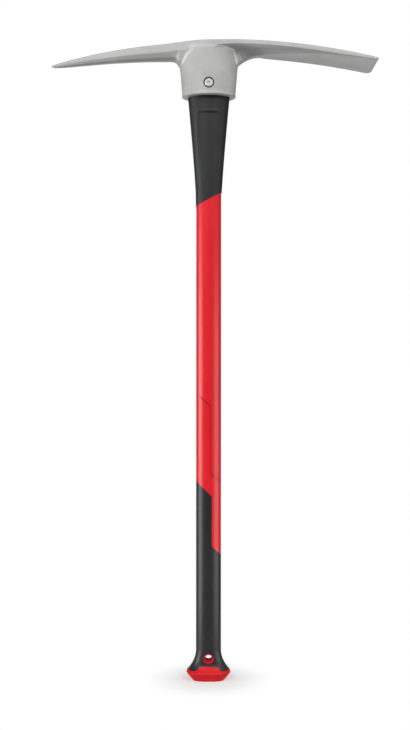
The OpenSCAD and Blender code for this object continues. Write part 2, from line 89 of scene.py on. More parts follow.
class Workbench:
    """Bench tools: each one is a step of modelling by operators."""

    @staticmethod
    def clear_selection() -> None:
        """Leaves edit mode and deselects every object."""
        if bpy.context.object and bpy.context.object.mode != "OBJECT":
            bpy.ops.object.mode_set(mode="OBJECT")
        bpy.ops.object.select_all(action="DESELECT")

    @staticmethod
    def take(obj: Piece) -> None:
        """Makes one object the only one selected, and active.

        Args:
            obj: The object.
        """
        Workbench.clear_selection()
        obj.select_set(True)
        bpy.context.view_layer.objects.active = obj

    @staticmethod
    def turned_blank(name: str, sides: int, rings: int) -> Piece:
        """Adds an upright cylinder cut into rings, as a blank to be shaped.

        Args:
            name: Name of the new object.
            sides: Points round each ring.
            rings: Number of rings, both ends included.

        Returns:
            A cylinder of radius 1 from z = 0 to z = 1.
        """
        Workbench.clear_selection()
        middle = 0.5
        bpy.ops.mesh.primitive_cylinder_add(vertices=sides, radius=1.0, depth=1.0, location=(0, 0, middle))
        blank = bpy.context.object
        blank.name = name
        bpy.ops.object.transform_apply(location=True, rotation=True, scale=True)
        if rings > 2:
            bpy.context.tool_settings.mesh_select_mode = (False, True, False)
            bpy.ops.object.mode_set(mode="EDIT")
            bpy.ops.mesh.select_all(action="DESELECT")
            bpy.ops.object.mode_set(mode="OBJECT")
            points = blank.data.vertices
            for edge in blank.data.edges:
                low, high = (points[i].co.z for i in edge.vertices)
                edge.select = abs(high - low) > middle
            bpy.ops.object.mode_set(mode="EDIT")
            bpy.ops.mesh.subdivide(number_cuts=rings - 2)
            bpy.ops.object.mode_set(mode="OBJECT")
        return blank

    @staticmethod
    def points_of(obj: Piece) -> np.ndarray:
        """Reads the points of an object.

        Args:
            obj: The object.

        Returns:
            Rows of x, y and z, in millimetres.
        """
        flat = np.empty(len(obj.data.vertices) * 3)
        obj.data.vertices.foreach_get("co", flat)
        return flat.reshape(-1, 3) / MM

    @staticmethod
    def place_points(obj: Piece, points: np.ndarray) -> None:
        """Moves the object's points to rows of x, y and z in millimetres."""
        obj.data.vertices.foreach_set("co", (points * MM).ravel())
        obj.data.update()

    @staticmethod
    def mark(obj: Piece, name: str, values: np.ndarray) -> None:
        """Keeps one value for each point of an object, for its finish to read."""
        attribute = obj.data.attributes.new(name, "FLOAT", "POINT")
        attribute.data.foreach_set("value", values.astype(np.float32))

    @staticmethod
    def outward(obj: Piece) -> None:
        """Turns every face of a closed mesh outwards.

        Args:
            obj: The object.
        """
        Workbench.take(obj)
        bpy.ops.object.mode_set(mode="EDIT")
        bpy.ops.mesh.select_all(action="SELECT")
        bpy.ops.mesh.normals_make_consistent(inside=False)
        bpy.ops.object.mode_set(mode="OBJECT")

    @staticmethod
    def prism(name: str, outline: Outline, reach: float) -> Piece:
        """Draws an outline in the front plane and extrudes it through from front to back.

        Args:
            name: Name of the new object.
            outline: Corners as x and z, in millimetres.
            reach: Half of the length from front to back, in millimetres.

        Returns:
            The closed prism.
        """
        Workbench.clear_selection()
        bpy.ops.mesh.primitive_plane_add(size=MM)
        solid = bpy.context.object
        solid.name = name
        bpy.context.tool_settings.mesh_select_mode = (True, False, False)
        bpy.ops.object.mode_set(mode="EDIT")
        bpy.ops.mesh.select_all(action="SELECT")
        bpy.ops.mesh.merge(type="CENTER")
        last = (0.0, 0.0)
        for index, (x, z) in enumerate(outline):
            across, up = (x - last[0]) * MM, (z - last[1]) * MM
            if index == 0:
                bpy.ops.transform.translate(value=(across, -reach * MM, up))
            else:
                bpy.ops.mesh.extrude_vertices_move(TRANSFORM_OT_translate={"value": (across, 0.0, up)})
            last = (x, z)
        bpy.ops.mesh.select_all(action="SELECT")
        bpy.ops.mesh.edge_face_add()
        bpy.ops.mesh.extrude_region_move(TRANSFORM_OT_translate={"value": (0, 2 * reach * MM, 0)})
        bpy.ops.mesh.select_all(action="SELECT")
        bpy.ops.mesh.normals_make_consistent(inside=False)
        bpy.ops.object.mode_set(mode="OBJECT")
        return solid

    @staticmethod
    def cross_rod(name: str, z: float, diameter: float, y_from: float, y_to: float) -> Piece:
        """Adds a round rod that runs from front to back.

        Args:
            name: Name of the new object.
            z: Height of its axis.
            diameter: Diameter of the rod.
            y_from: Front end.
            y_to: Back end.

        Returns:
            The closed rod.
        """
        Workbench.clear_selection()
        bpy.ops.mesh.primitive_cylinder_add(
            vertices=ROD_SIDES,
            radius=diameter / 2 * MM,
            depth=(y_to - y_from) * MM,
            location=(0, (y_from + y_to) / 2 * MM, z * MM),
            rotation=(math.pi / 2, 0, 0),
        )
        rod = bpy.context.object
        rod.name = name
        bpy.ops.object.transform_apply(location=True, rotation=True, scale=True)
        return rod

    @staticmethod
    def apply(obj: Piece, kind: str, **settings: object) -> None:
        """Adds a modifier and applies it.

        Args:
            obj: The object.
            kind: Type of the modifier.
            **settings: Settings of the modifier.
        """
        modifier = obj.modifiers.new(kind.lower(), kind)
        for name, value in settings.items():
            setattr(modifier, name, value)
        Workbench.take(obj)
        bpy.ops.object.modifier_apply(modifier=modifier.name)

    @staticmethod
    def carve(obj: Piece, tool: Piece, cut: Cut = Cut.TAKE_AWAY) -> None:
        """Lets a tool solid act on an object, then throws the tool away."""
        Workbench.apply(obj, "BOOLEAN", object=tool, operation=cut.value, solver="EXACT")
        bpy.data.objects.remove(tool, do_unlink=True)

    @staticmethod
    def soften(obj: Piece, width: float, segments: int = 2) -> None:
        """Rounds the sharp edges of an object.

        Args:
            obj: The object.
            width: Width of the round, in millimetres.
            segments: Number of faces across the round.
        """
        Workbench.apply(
            obj,
            "BEVEL",
            width=width * MM,
            segments=segments,
            limit_method="ANGLE",
            angle_limit=math.radians(SHARP_ANGLE),
            use_clamp_overlap=True,
        )

    @staticmethod
    def shade(obj: Piece, degrees: float = 35.0) -> None:
        """Shades an object smoothly, led by its large faces.

        Args:
            obj: The object.
            degrees: Angle past which an edge stays sharp.
        """
        Workbench.take(obj)
        bpy.ops.object.shade_smooth_by_angle(angle=math.radians(degrees))
        Workbench.apply(obj, "WEIGHTED_NORMAL", mode="FACE_AREA", weight=FACE_WEIGHT, keep_sharp=True)

    @staticmethod
    def dress(obj: Piece, material: Material) -> None:
        """Gives an object one material in place of those it has."""
        obj.data.materials.clear()
        obj.data.materials.append(material)

    @staticmethod
    def hand_over(obj: Piece, name: str, nodes: Sequence[str], slot: str, material: Material) -> Piece:
        """Dresses a finished piece and sets it in the frame.

        Args:
            obj: The finished piece.
            name: Its name.
            nodes: CAD nodes that it stands for.
            slot: Name of the piece's material slot; not used.
            material: Its material.

        Returns:
            The piece.
        """
        obj.name = name
        obj.data.name = name
        Workbench.dress(obj, material)
        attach(obj, BODY)
        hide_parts(*nodes)
        return obj


class NodeTree:
    """Short way to add and join shader nodes."""

    def __init__(self, tree: bpy.types.NodeTree) -> None:
        """Keeps the tree and clears it."""
        self.tree = tree
        tree.nodes.clear()

    def add(self, kind: str, **values: object) -> Node:
        """Adds a node.

        Args:
            kind: Type of the node, without the leading ShaderNode.
            **values: Settings of the node.

        Returns:
            The new node.
        """
        node = self.tree.nodes.new(kind if kind.startswith("NodeGroup") else "ShaderNode" + kind)
        for name, value in values.items():
            setattr(node, name, value)
        return node

    def join(self, socket: Socket, value: object) -> None:
        """Links an input to the socket that feeds it, or sets its value.

        Args:
            socket: The input.
            value: A value, or the socket that feeds the input.
        """
        if isinstance(value, Socket):
            self.tree.links.new(value, socket)
        else:
            socket.default_value = value

    def feed(self, node: Node, **inputs: object) -> Node:
        """Sets or links a node's inputs by name, with underscores for spaces.

        Args:
            node: The node.
            **inputs: A value, or the socket that feeds the input.

        Returns:
            The node.
        """
        for name, value in inputs.items():
            self.join(node.inputs[name.replace("_", " ")], value)
        return node

    def split(self, vector: Socket) -> Node:
        """Returns a node that splits a vector into X, Y and Z."""
        return self.feed(self.add("SeparateXYZ"), Vector=vector)

    def math(self, operation: str, first: object, second: object = 0.0) -> Socket:
        """Does a sum on two values or sockets.

        Args:
            operation: Name of the sum.
            first: First value, or the socket that feeds it.
            second: Second value, or the socket that feeds it.

        Returns:
            The result.
        """
        node = self.add("Math", operation=operation)
        for socket, value in zip(node.inputs, (first, second)):
            self.join(socket, value)
        return node.outputs[0]

    def remap(
        self, value: Socket, low: float, high: float, to_low: float = 0.0, to_high: float = 1.0
    ) -> Socket:
        """Carries a value over smoothly from one range to another.

        Args:
            value: The value.
            low: Start of its range.
            high: End of its range.
            to_low: Result at the start.
            to_high: Result at the end.

        Returns:
            The result.
        """
        node = self.add("MapRange", interpolation_type="SMOOTHSTEP")
        self.feed(node, Value=value, From_Min=low, From_Max=high, To_Min=to_low, To_Max=to_high)
        return node.outputs["Result"]

    def mix(self, factor: object, first: object, second: object) -> Socket:
        """Mixes two colours.

        Args:
            factor: Share of the second colour, or the socket that feeds it.
            first: First colour, or the socket that feeds it.
            second: Second colour, or the socket that feeds it.

        Returns:
            The mixed colour.
        """
        node = self.add("Mix", data_type="RGBA")
        self.join(node.inputs[MIX_FACTOR], factor)
        for index, colour in ((MIX_FIRST, first), (MIX_SECOND, second)):
            self.join(node.inputs[index], colour if isinstance(colour, Socket) else (*colour, 1.0))
        return node.outputs[MIX_RESULT]


class EffectLibrary:
    """Shader node groups that several finishes share."""

    def __init__(self) -> None:
        """Builds each group once."""
        self.grain = self._grain()
        self.mottle = self._mottle()
        self.scuffs = self._scuffs()

    @staticmethod
    def _group(
        name: str, inputs: Sequence[tuple[str, str, object]], outputs: Sequence[tuple[str, str]]
    ) -> tuple[NodeTree, Node, Node]:
        """Starts a group.

        Args:
            name: Name of the group.
            inputs: Name, socket type and first value of each input.
            outputs: Name and socket type of each output.

        Returns:
            The group's tree, and its input and output nodes.
        """
        group = bpy.data.node_groups.new(name, "ShaderNodeTree")
        for label, kind, value in inputs:
            socket = group.interface.new_socket(name=label, in_out="INPUT", socket_type=kind)
            if value is not None:
                socket.default_value = value
        for label, kind in outputs:
            group.interface.new_socket(name=label, in_out="OUTPUT", socket_type=kind)
        tree = NodeTree(group)
        return tree, tree.add("NodeGroupInput"), tree.add("NodeGroupOutput")

    def _grain(self) -> bpy.types.NodeTree:
        """Builds fine surface grain.

        Returns:
            A group with a height for bump and a mask of the same grain.
        """
        tree, enter, leave = self._group(
            "surface_grain",
            [
                ("Vector", "NodeSocketVector", None),
                ("Scale", "NodeSocketFloat", 900.0),
                ("Coarse Scale", "NodeSocketFloat", 160.0),
                ("Coarse Share", "NodeSocketFloat", 0.35),
            ],
            [("Height", "NodeSocketFloat"), ("Mask", "NodeSocketFloat")],
        )
        place = enter.outputs["Vector"]
        fine = tree.add("TexNoise")
        tree.feed(fine, Vector=place, Scale=enter.outputs["Scale"], Detail=3.0, Roughness=0.6)
        coarse = tree.add("TexNoise")
        tree.feed(coarse, Vector=place, Scale=enter.outputs["Coarse Scale"], Detail=2.0)
        share = tree.math("MULTIPLY", coarse.outputs["Fac"], enter.outputs["Coarse Share"])
        height = tree.math("ADD", fine.outputs["Fac"], share)
        tree.feed(leave, Height=height, Mask=tree.remap(fine.outputs["Fac"], low=0.35, high=0.65))
        return tree.tree

    def _mottle(self) -> bpy.types.NodeTree:
        """Builds slow colour variation.

        Returns:
            A group with a colour that wanders between two close ones, and its mask.
        """
        tree, enter, leave = self._group(
            "mottle",
            [
                ("Vector", "NodeSocketVector", None),
                ("Scale", "NodeSocketFloat", 40.0),
                ("Low", "NodeSocketColor", (0.2, 0.2, 0.2, 1.0)),
                ("High", "NodeSocketColor", (0.3, 0.3, 0.3, 1.0)),
            ],
            [("Colour", "NodeSocketColor"), ("Mask", "NodeSocketFloat")],
        )
        place, scale = enter.outputs["Vector"], enter.outputs["Scale"]
        noise = tree.feed(tree.add("TexNoise"), Vector=place, Scale=scale, Detail=5.0, Roughness=0.55)
        mask = tree.remap(noise.outputs["Fac"], low=0.3, high=0.7)
        tree.feed(leave, Colour=tree.mix(mask, enter.outputs["Low"], enter.outputs["High"]), Mask=mask)
        return tree.tree

    def _scuffs(self) -> bpy.types.NodeTree:
        """Builds faint scuffs drawn out along one direction.

        Returns:
            A group with a mask of the scuffs.
        """
        tree, enter, leave = self._group(
            "scuffs",
            [
                ("Vector", "NodeSocketVector", None),
                ("Scale", "NodeSocketFloat", 60.0),
                ("Stretch", "NodeSocketVector", (1.0, 1.0, 0.1)),
                ("Cover", "NodeSocketFloat", 0.62),
            ],
            [("Mask", "NodeSocketFloat")],
        )
        drawn = tree.add("VectorMath", operation="MULTIPLY")
        tree.join(drawn.inputs[0], enter.outputs["Vector"])
        tree.join(drawn.inputs[1], enter.outputs["Stretch"])
        noise = tree.add("TexNoise")
        tree.feed(noise, Vector=drawn.outputs[0], Scale=enter.outputs["Scale"], Detail=6.0, Roughness=0.65)
        over = tree.math("SUBTRACT", noise.outputs["Fac"], enter.outputs["Cover"])
        tree.feed(leave, Mask=tree.remap(over, low=0.0, high=0.12))
        return tree.tree


@dataclass(frozen=True)
class Canvas:
    """What a finish is laid on: the material's nodes, the shared groups and the Object coordinates."""

    tree: NodeTree
    effects: EffectLibrary
    place: Socket


@dataclass(frozen=True)
class Finish:
    """A surface finish: colours, gloss, grain and scuffs."""

    name: str
    low: Colour
    high: Colour
    roughness: tuple[float, float]
    metallic: float = 0.0
    coat: float = 0.0
    coat_roughness: float = 0.2
    specular: float = 0.5
    mottle_scale: float = 40.0
    grain_scale: float = 900.0
    coarse_scale: float = 160.0
    coarse_share: float = 0.35
    relief: float = 0.05
    relief_depth: float = 0.1
    scuff_colour: Colour | None = None
    scuff_strength: float = 0.0
    scuff_scale: float = 60.0
    scuff_stretch: Place = (1.0, 1.0, 0.1)
    scuff_cover: float = 0.62

    def build(self, effects: EffectLibrary) -> Material:
        """Builds the material.

        Args:
            effects: The shared shader groups.

        Returns:
            The finished material.
        """
        material = bpy.data.materials.new(self.name)
        material.use_nodes = True
        material.diffuse_color = (*self.high, 1.0)
        tree = NodeTree(material.node_tree)
        canvas = Canvas(tree, effects, tree.add("TexCoord").outputs["Object"])
        mottle = tree.feed(
            tree.add("Group", node_tree=effects.mottle),
            Vector=canvas.place,
            Scale=self.mottle_scale,
            Low=(*self.low, 1.0),
            High=(*self.high, 1.0),
        )
        grain = tree.feed(
            tree.add("Group", node_tree=effects.grain),
            Vector=canvas.place,
            Scale=self.grain_scale,
            Coarse_Scale=self.coarse_scale,
            Coarse_Share=self.coarse_share,
        )
        bump = tree.feed(
            tree.add("Bump"),
            Strength=self.relief,
            Distance=self.relief_depth * MM,
            Height=grain.outputs["Height"],
        )
        shader = tree.feed(
            tree.add("BsdfPrincipled"),
            Base_Color=self.colour_of(canvas, mottle.outputs["Colour"]),
            Metallic=self.metallic,
            Roughness=tree.remap(grain.outputs["Mask"], 0.0, 1.0, *self.roughness),
            Specular_IOR_Level=self.specular,
            Coat_Weight=self.coat,
            Coat_Roughness=self.coat_roughness,
            Normal=bump.outputs["Normal"],
        )
        tree.feed(tree.add("OutputMaterial"), Surface=shader.outputs["BSDF"])
        return material

    def colour_of(self, canvas: Canvas, colour: Socket) -> Socket:
        """Lays the scuffs over the mottled colour.

        Args:
            canvas: What the finish is laid on.
            colour: The mottled colour.

        Returns:
            The colour for the shader.
        """
        if self.scuff_colour is None:
            return colour
        tree = canvas.tree
        scuffs = tree.feed(
            tree.add("Group", node_tree=canvas.effects.scuffs),
            Vector=canvas.place,
            Scale=self.scuff_scale,
            Stretch=self.scuff_stretch,
            Cover=self.scuff_cover,
        )
        amount = tree.math("MULTIPLY", scuffs.outputs["Mask"], self.scuff_strength)
        return tree.mix(amount, colour, self.scuff_colour)


@dataclass(frozen=True)
class ForgedFinish(Finish):
    """Finish of the head, with a painted highlight along its fillets and brighter along its ground cutting
    edge.
    """

    # Near-white colour of the painted highlight along the fillets
    fillet_highlight_colour: Colour = (0.95, 0.95, 0.94)
    ground_colour: Colour = (0.6, 0.6, 0.6)
    edge_from: float = 231.0
    edge_to: float = 234.0

    def colour_of(self, canvas: Canvas, colour: Socket) -> Socket:
        """Lays the scuffs, the painted highlight along the fillets and the ground edge over the mottled
        colour.

        Args:
            canvas: What the finish is laid on.
            colour: The mottled colour.

        Returns:
            The colour for the shader.
        """
        tree = canvas.tree
        layered = super().colour_of(canvas, colour)
        # Painted highlight: the fillet mark mixes a near-white into the colour
        fillets = tree.add("Attribute", attribute_name=FILLET_HIGHLIGHT_MARK)
        layered = tree.mix(fillets.outputs["Fac"], layered, self.fillet_highlight_colour)
        across = tree.split(canvas.place).outputs["X"]
        ground = tree.remap(across, self.edge_from * MM, self.edge_to * MM)
        return tree.mix(ground, layered, self.ground_colour)


@dataclass(frozen=True)
class SeamedFinish(Finish):
    """Finish of a moulding, with painted shade at the bottom of its seam."""

    # Darker red of the painted shade in the seam's groove
    seam_shade_colour: Colour = (0.4, 0.006, 0.012)

    def colour_of(self, canvas: Canvas, colour: Socket) -> Socket:
        """Lays the scuffs and the painted shade in the seam over the mottled colour.

        Args:
            canvas: What the finish is laid on.
            colour: The mottled colour.

        Returns:
            The colour for the shader.
        """
        layered = super().colour_of(canvas, colour)
        # Painted shade: the seam mark mixes a darker red into the bottom of the groove
        seam = canvas.tree.add("Attribute", attribute_name=SEAM_SHADE_MARK)
        return canvas.tree.mix(seam.outputs["Fac"], layered, self.seam_shade_colour)


@dataclass(frozen=True)
class BushFinish(Finish):
    """Finish of the bush, with painted shade on its two lips."""

    # Darker red of the painted shade on the bush's two lips
    lip_shade_colour: Colour = (0.4, 0.006, 0.014)
    lip_from: float = 13.5
    lip_to: float = 14.1

    def colour_of(self, canvas: Canvas, colour: Socket) -> Socket:
        """Lays the scuffs and the painted shade on the lips over the mottled colour.

        Args:
            canvas: What the finish is laid on.
            colour: The mottled colour.

        Returns:
            The colour for the shader.
        """
        tree = canvas.tree
        layered = super().colour_of(canvas, colour)
        # Painted shade: darker red towards the bush's two outer ends
        outward = tree.math("ABSOLUTE", tree.split(canvas.place).outputs["Y"])
        lips = tree.remap(outward, self.lip_from * MM, self.lip_to * MM)
        return tree.mix(lips, layered, self.lip_shade_colour)


FORGED_STEEL = ForgedFinish(
    name="forged_steel",
    low=(0.44, 0.44, 0.435),
    high=(0.52, 0.52, 0.515),
    roughness=(0.54, 0.64),
    metallic=0.15,
    coat=0.4,
    coat_roughness=0.24,
    mottle_scale=26.0,
    grain_scale=1100.0,
    coarse_scale=300.0,
    coarse_share=0.5,
    relief=0.16,
    relief_depth=0.12,
    scuff_colour=(0.36, 0.36, 0.36),
    scuff_strength=0.3,
    scuff_scale=110.0,
    scuff_stretch=(0.35, 1.0, 1.0),
)
RED_MOULDING = SeamedFinish(
    name="red_moulding",
    low=(0.74, 0.012, 0.02),
    high=(0.8, 0.015, 0.024),
    roughness=(0.29, 0.36),
    mottle_scale=18.0,
    grain_scale=500.0,
    coarse_scale=90.0,
    coarse_share=1.2,
    relief=0.03,
    relief_depth=0.05,
    scuff_colour=(0.75, 0.09, 0.09),
    scuff_strength=0.12,
    scuff_scale=50.0,
    scuff_stretch=(1.0, 1.0, 0.06),
)
RED_KNOB = Finish(
    name="red_knob",
    low=(0.65, 0.008, 0.016),
    high=(0.7, 0.01, 0.019),
    roughness=(0.36, 0.44),
    specular=0.18,
    mottle_scale=18.0,
    grain_scale=500.0,
    coarse_scale=90.0,
    coarse_share=1.2,
    relief=0.03,
    relief_depth=0.05,
)
# Red brighter than the mouldings: painted light on the inside of the lanyard hole, which lies in shade
RED_BUSH = BushFinish(
    name="red_bush",
    low=(0.88, 0.014, 0.03),
    high=(0.94, 0.016, 0.034),
    roughness=(0.55, 0.68),
    specular=0.2,
    mottle_scale=60.0,
    grain_scale=700.0,
    relief=0.05,
    relief_depth=0.05,
)
BLACK_MOULDING = Finish(
    name="black_moulding",
    low=(0.011, 0.0113, 0.0124),
    high=(0.016, 0.0164, 0.018),
    roughness=(0.42, 0.52),
    mottle_scale=30.0,
    grain_scale=1400.0,
    coarse_scale=500.0,
    coarse_share=0.8,
    relief=0.25,
    relief_depth=0.1,
    scuff_colour=(0.06, 0.06, 0.062),
    scuff_strength=0.3,
)
GRIP_RUBBER = Finish(
    name="grip_rubber",
    low=(0.016, 0.016, 0.0175),
    high=(0.022, 0.022, 0.024),
    roughness=(0.36, 0.45),
    mottle_scale=34.0,
    grain_scale=1500.0,
    coarse_scale=420.0,
    coarse_share=0.7,
    relief=0.2,
    relief_depth=0.08,
    scuff_colour=(0.07, 0.07, 0.072),
    scuff_strength=0.25,
)
BRIGHT_ZINC = Finish(
    name="bright_zinc",
    low=(0.56, 0.56, 0.56),
    high=(0.64, 0.64, 0.64),
    roughness=(0.4, 0.5),
    metallic=0.5,
    mottle_scale=300.0,
    grain_scale=2200.0,
    relief=0.08,
    relief_depth=0.04,
)
# Very dark finish of the washers, which draws the dark ring round each bolt head
DARK_WASHER = Finish(
    name="dark_washer",
    low=(0.014, 0.014, 0.015),
    high=(0.024, 0.024, 0.025),
    roughness=(0.45, 0.6),
    metallic=0.4,
    mottle_scale=250.0,
    grain_scale=1800.0,
)
CAST_RESIN = Finish(
    name="cast_resin",
    low=(0.02, 0.02, 0.021),
    high=(0.034, 0.034, 0.036),
    roughness=(0.3, 0.5),
    mottle_scale=90.0,
    grain_scale=700.0,
    coarse_scale=120.0,
    coarse_share=1.5,
    relief=0.3,
    relief_depth=0.3,
)
PULTRUDED_ROD = Finish(
    name="pultruded_rod",
    low=(0.5, 0.42, 0.24),
    high=(0.66, 0.58, 0.36),
    roughness=(0.45, 0.65),
    mottle_scale=700.0,
    grain_scale=1600.0,
    relief=0.2,
    relief_depth=0.1,
)

# CAD nodes that stay in view, each with its finish
KEPT_NODES = {
    "cross_bolt": BRIGHT_ZINC,
    "barrel_nut": BRIGHT_ZINC,
    "bolt_washers": DARK_WASHER,
    "eye_bond": CAST_RESIN,
    "fibreglass_core": PULTRUDED_ROD,
}


def clamp(share: float) -> float:
    """Returns a share kept between 0 and 1."""
    return min(max(share, 0.0), 1.0)


def smooth_step(share: float) -> float:
    """Returns a smooth step from 0 to 1."""
    kept = clamp(share)
    return kept * kept * (3 - 2 * kept)


def quarter_round(x: float, x_end: float, radius: float) -> float:
    """Returns the rise of a quarter round that ends at x_end."""
    run = min(max(x - (x_end - radius), 0.0), radius)
    return radius - math.sqrt(radius * radius - run * run)


def oval_solid(name: str, rings: Sequence[Ring], sides: int = SHAFT_SIDES) -> Piece:
    """Shapes a turned blank into a stack of ovals.

    Args:
        name: Name of the new object.
        rings: Height, half width, half depth and squareness of each ring, upwards.
        sides: Points round each ring.

    Returns:
        The closed solid.
    """
    blank = Workbench.turned_blank(name, sides, len(rings))
    points = Workbench.points_of(blank) * MM
    level = np.rint(points[:, 2] * (len(rings) - 1)).astype(int)
    table = np.array(rings)[level]
    angle = np.arctan2(points[:, 1], points[:, 0])
    power = 2.0 / table[:, 3]
    across = np.sign(np.cos(angle)) * np.abs(np.cos(angle)) ** power * table[:, 1]
    along = np.sign(np.sin(angle)) * np.abs(np.sin(angle)) ** power * table[:, 2]
    Workbench.place_points(blank, np.column_stack([across, along, table[:, 0]]))
    return blank


def oval_rod(name: str, low: float, high: float, half_w: float, half_d: float) -> Piece:
    """Returns a straight oval rod between two heights."""
    return oval_solid(name, [(z, half_w, half_d, OVAL) for z in (low, high)])


def step_outline(
    z: float, run: float, x: float, half: float, slope: float, reach: float, floor: float
) -> Outline:
    """Draws the space below a stepped edge: a slant, a straight run down the shaft and a second slant.

    Args:
        z: Height of the edge on the pick side.
        run: Length of the straight run.
        x: Distance of the run from the axis.
        half: Half width of the shaft.
        slope: Slope of the slants, in degrees.
        reach: Half width of the outline.
        floor: Height of the outline's lower end.

    Returns:
        The corners as x and z.
    """
    rise = math.tan(math.radians(slope))
    run_z = z - rise * (x + half)
    return [
        (-reach, z + rise * (reach - half)),
        (x, run_z),
        (x, run_z - run),
        (reach, run_z - run - rise * (reach - x)),
        (reach, floor),
        (-reach, floor),
    ]


def rounded(line: Outline, radius: float, steps: int = 5) -> list[tuple[float, float]]:
    """Rounds the inner corners of a line.

    Args:
        line: Corners of the line.
        radius: Distance from a corner at which its round begins.
        steps: Points along each round.

    Returns:
        The points of the rounded line.
    """
    corners = [np.array(corner) for corner in line]
    out = [tuple(corners[0])]
    for before, corner, after in zip(corners, corners[1:], corners[2:]):
        start = corner + (before - corner) * radius / np.linalg.norm(before - corner)
        end = corner + (after - corner) * radius / np.linalg.norm(after - corner)
        for t in np.linspace(0, 1, steps):
            out.append(tuple(start * (1 - t) ** 2 + corner * 2 * t * (1 - t) + end * t * t))
    return [(float(x), float(z)) for x, z in [*out, tuple(corners[-1])]]


def tree_of(obj: Piece) -> BVHTree:
    """Returns a search tree of an object's faces."""
    points = [v.co.copy() for v in obj.data.vertices]
    return BVHTree.FromPolygons(points, [tuple(p.vertices) for p in obj.data.polygons])


def signed_gap(tree: BVHTree, point: Vector, limit: float) -> tuple[float, Vector] | None:
    """Finds how far a point is from a solid.

    Args:
        tree: Search tree of the solid.
        point: The point.
        limit: Distance past which the solid isn't looked for.

    Returns:
        The distance, negative inside, and the nearest face's normal, or None past the limit.
    """
    near, normal, _, gap = tree.find_nearest(point, limit)
    if near is None:
        return None
    return (gap if (point - near).dot(normal) >= 0 else -gap), normal


@dataclass
class HandleLine:
    """Outside of the handle: half width, half depth and squareness at each height, in millimetres."""

    shaft_w: float = 36.0
    shaft_d: float = 28.0
    rim_z: float = 837.8
    sleeve_flare: float = 153.0
    mouth_a: float = 30.05
    mouth_b: float = 20.15
    sleeve_power: float = 1.22
    cap_w: float = 63.0
    cap_d: float = 45.0
    cap_rim_z: float = 12.0
    cap_rim_h: float = 1.6
    cap_rim_drop: float = 0.7
    butt_w: float = 46.5
    butt_d: float = 32.0
    butt_edge: float = 1.2
    flare_z: float = 44.0
    flare_power_w: float = 2.1
    flare_power_d: float = 4.2
    square_oval: float = 2.9

    @property
    def rim_top(self) -> float:
        """Height at which the end cap's rim passes into the flare."""
        return self.cap_rim_z + self.cap_rim_h

    def _cap_half(self, z: float, butt: float, rim: float, shaft: float, power: float) -> float:
        """Works out the half size of the end cap at a height, for the width or the depth.

        Args:
            z: The height.
            butt: Half size of the butt.
            rim: Half size of the rim.
            shaft: Half size of the shaft.
            power: Power of the flare's curve.

        Returns:
            The half size.
        """
        lower = rim - self.cap_rim_drop
        if z < self.rim_top:
            heights = [0.0, self.butt_edge, self.cap_rim_z - self.cap_rim_h, self.cap_rim_z, self.rim_top]
            return float(np.interp(z, heights, [butt - self.butt_edge, butt, lower, rim, lower]))
        return shaft + (lower - shaft) * ((self.flare_z - z) / (self.flare_z - self.rim_top)) ** power

    def at(self, z: float) -> tuple[float, float, float]:
        """Works out the handle's oval at a height.

        Args:
            z: The height.

        Returns:
            The half width, the half depth and the squareness.
        """
        shaft_a, shaft_b = self.shaft_w / 2, self.shaft_d / 2
        if z < self.flare_z:
            share = max((z - self.rim_top) / (self.flare_z - self.rim_top), 0.0)
            return (
                self._cap_half(z, self.butt_w / 2, self.cap_w / 2, shaft_a, self.flare_power_w),
                self._cap_half(z, self.butt_d / 2, self.cap_d / 2, shaft_b, self.flare_power_d),
                self.square_oval + (OVAL - self.square_oval) * share,
            )
        share = clamp((z - self.rim_z + self.sleeve_flare) / self.sleeve_flare) ** self.sleeve_power
        return (shaft_a + (self.mouth_a - shaft_a) * share, shaft_b + (self.mouth_b - shaft_b) * share, OVAL)

    def solid(
        self, name: str, heights: Sequence[float], inset: float = 0.0, sides: int = SHAFT_SIDES
    ) -> Piece:
        """Shapes a turned blank to the outside of the handle.

        Args:
            name: Name of the new object.
            heights: Heights of its rings.
            inset: Distance by which it is drawn in.
            sides: Points round each ring.

        Returns:
            The closed solid.
        """
        sizes = [self.at(z) for z in heights]
        return oval_solid(name, [(z, a - inset, b - inset, s) for z, (a, b, s) in zip(heights, sizes)], sides)


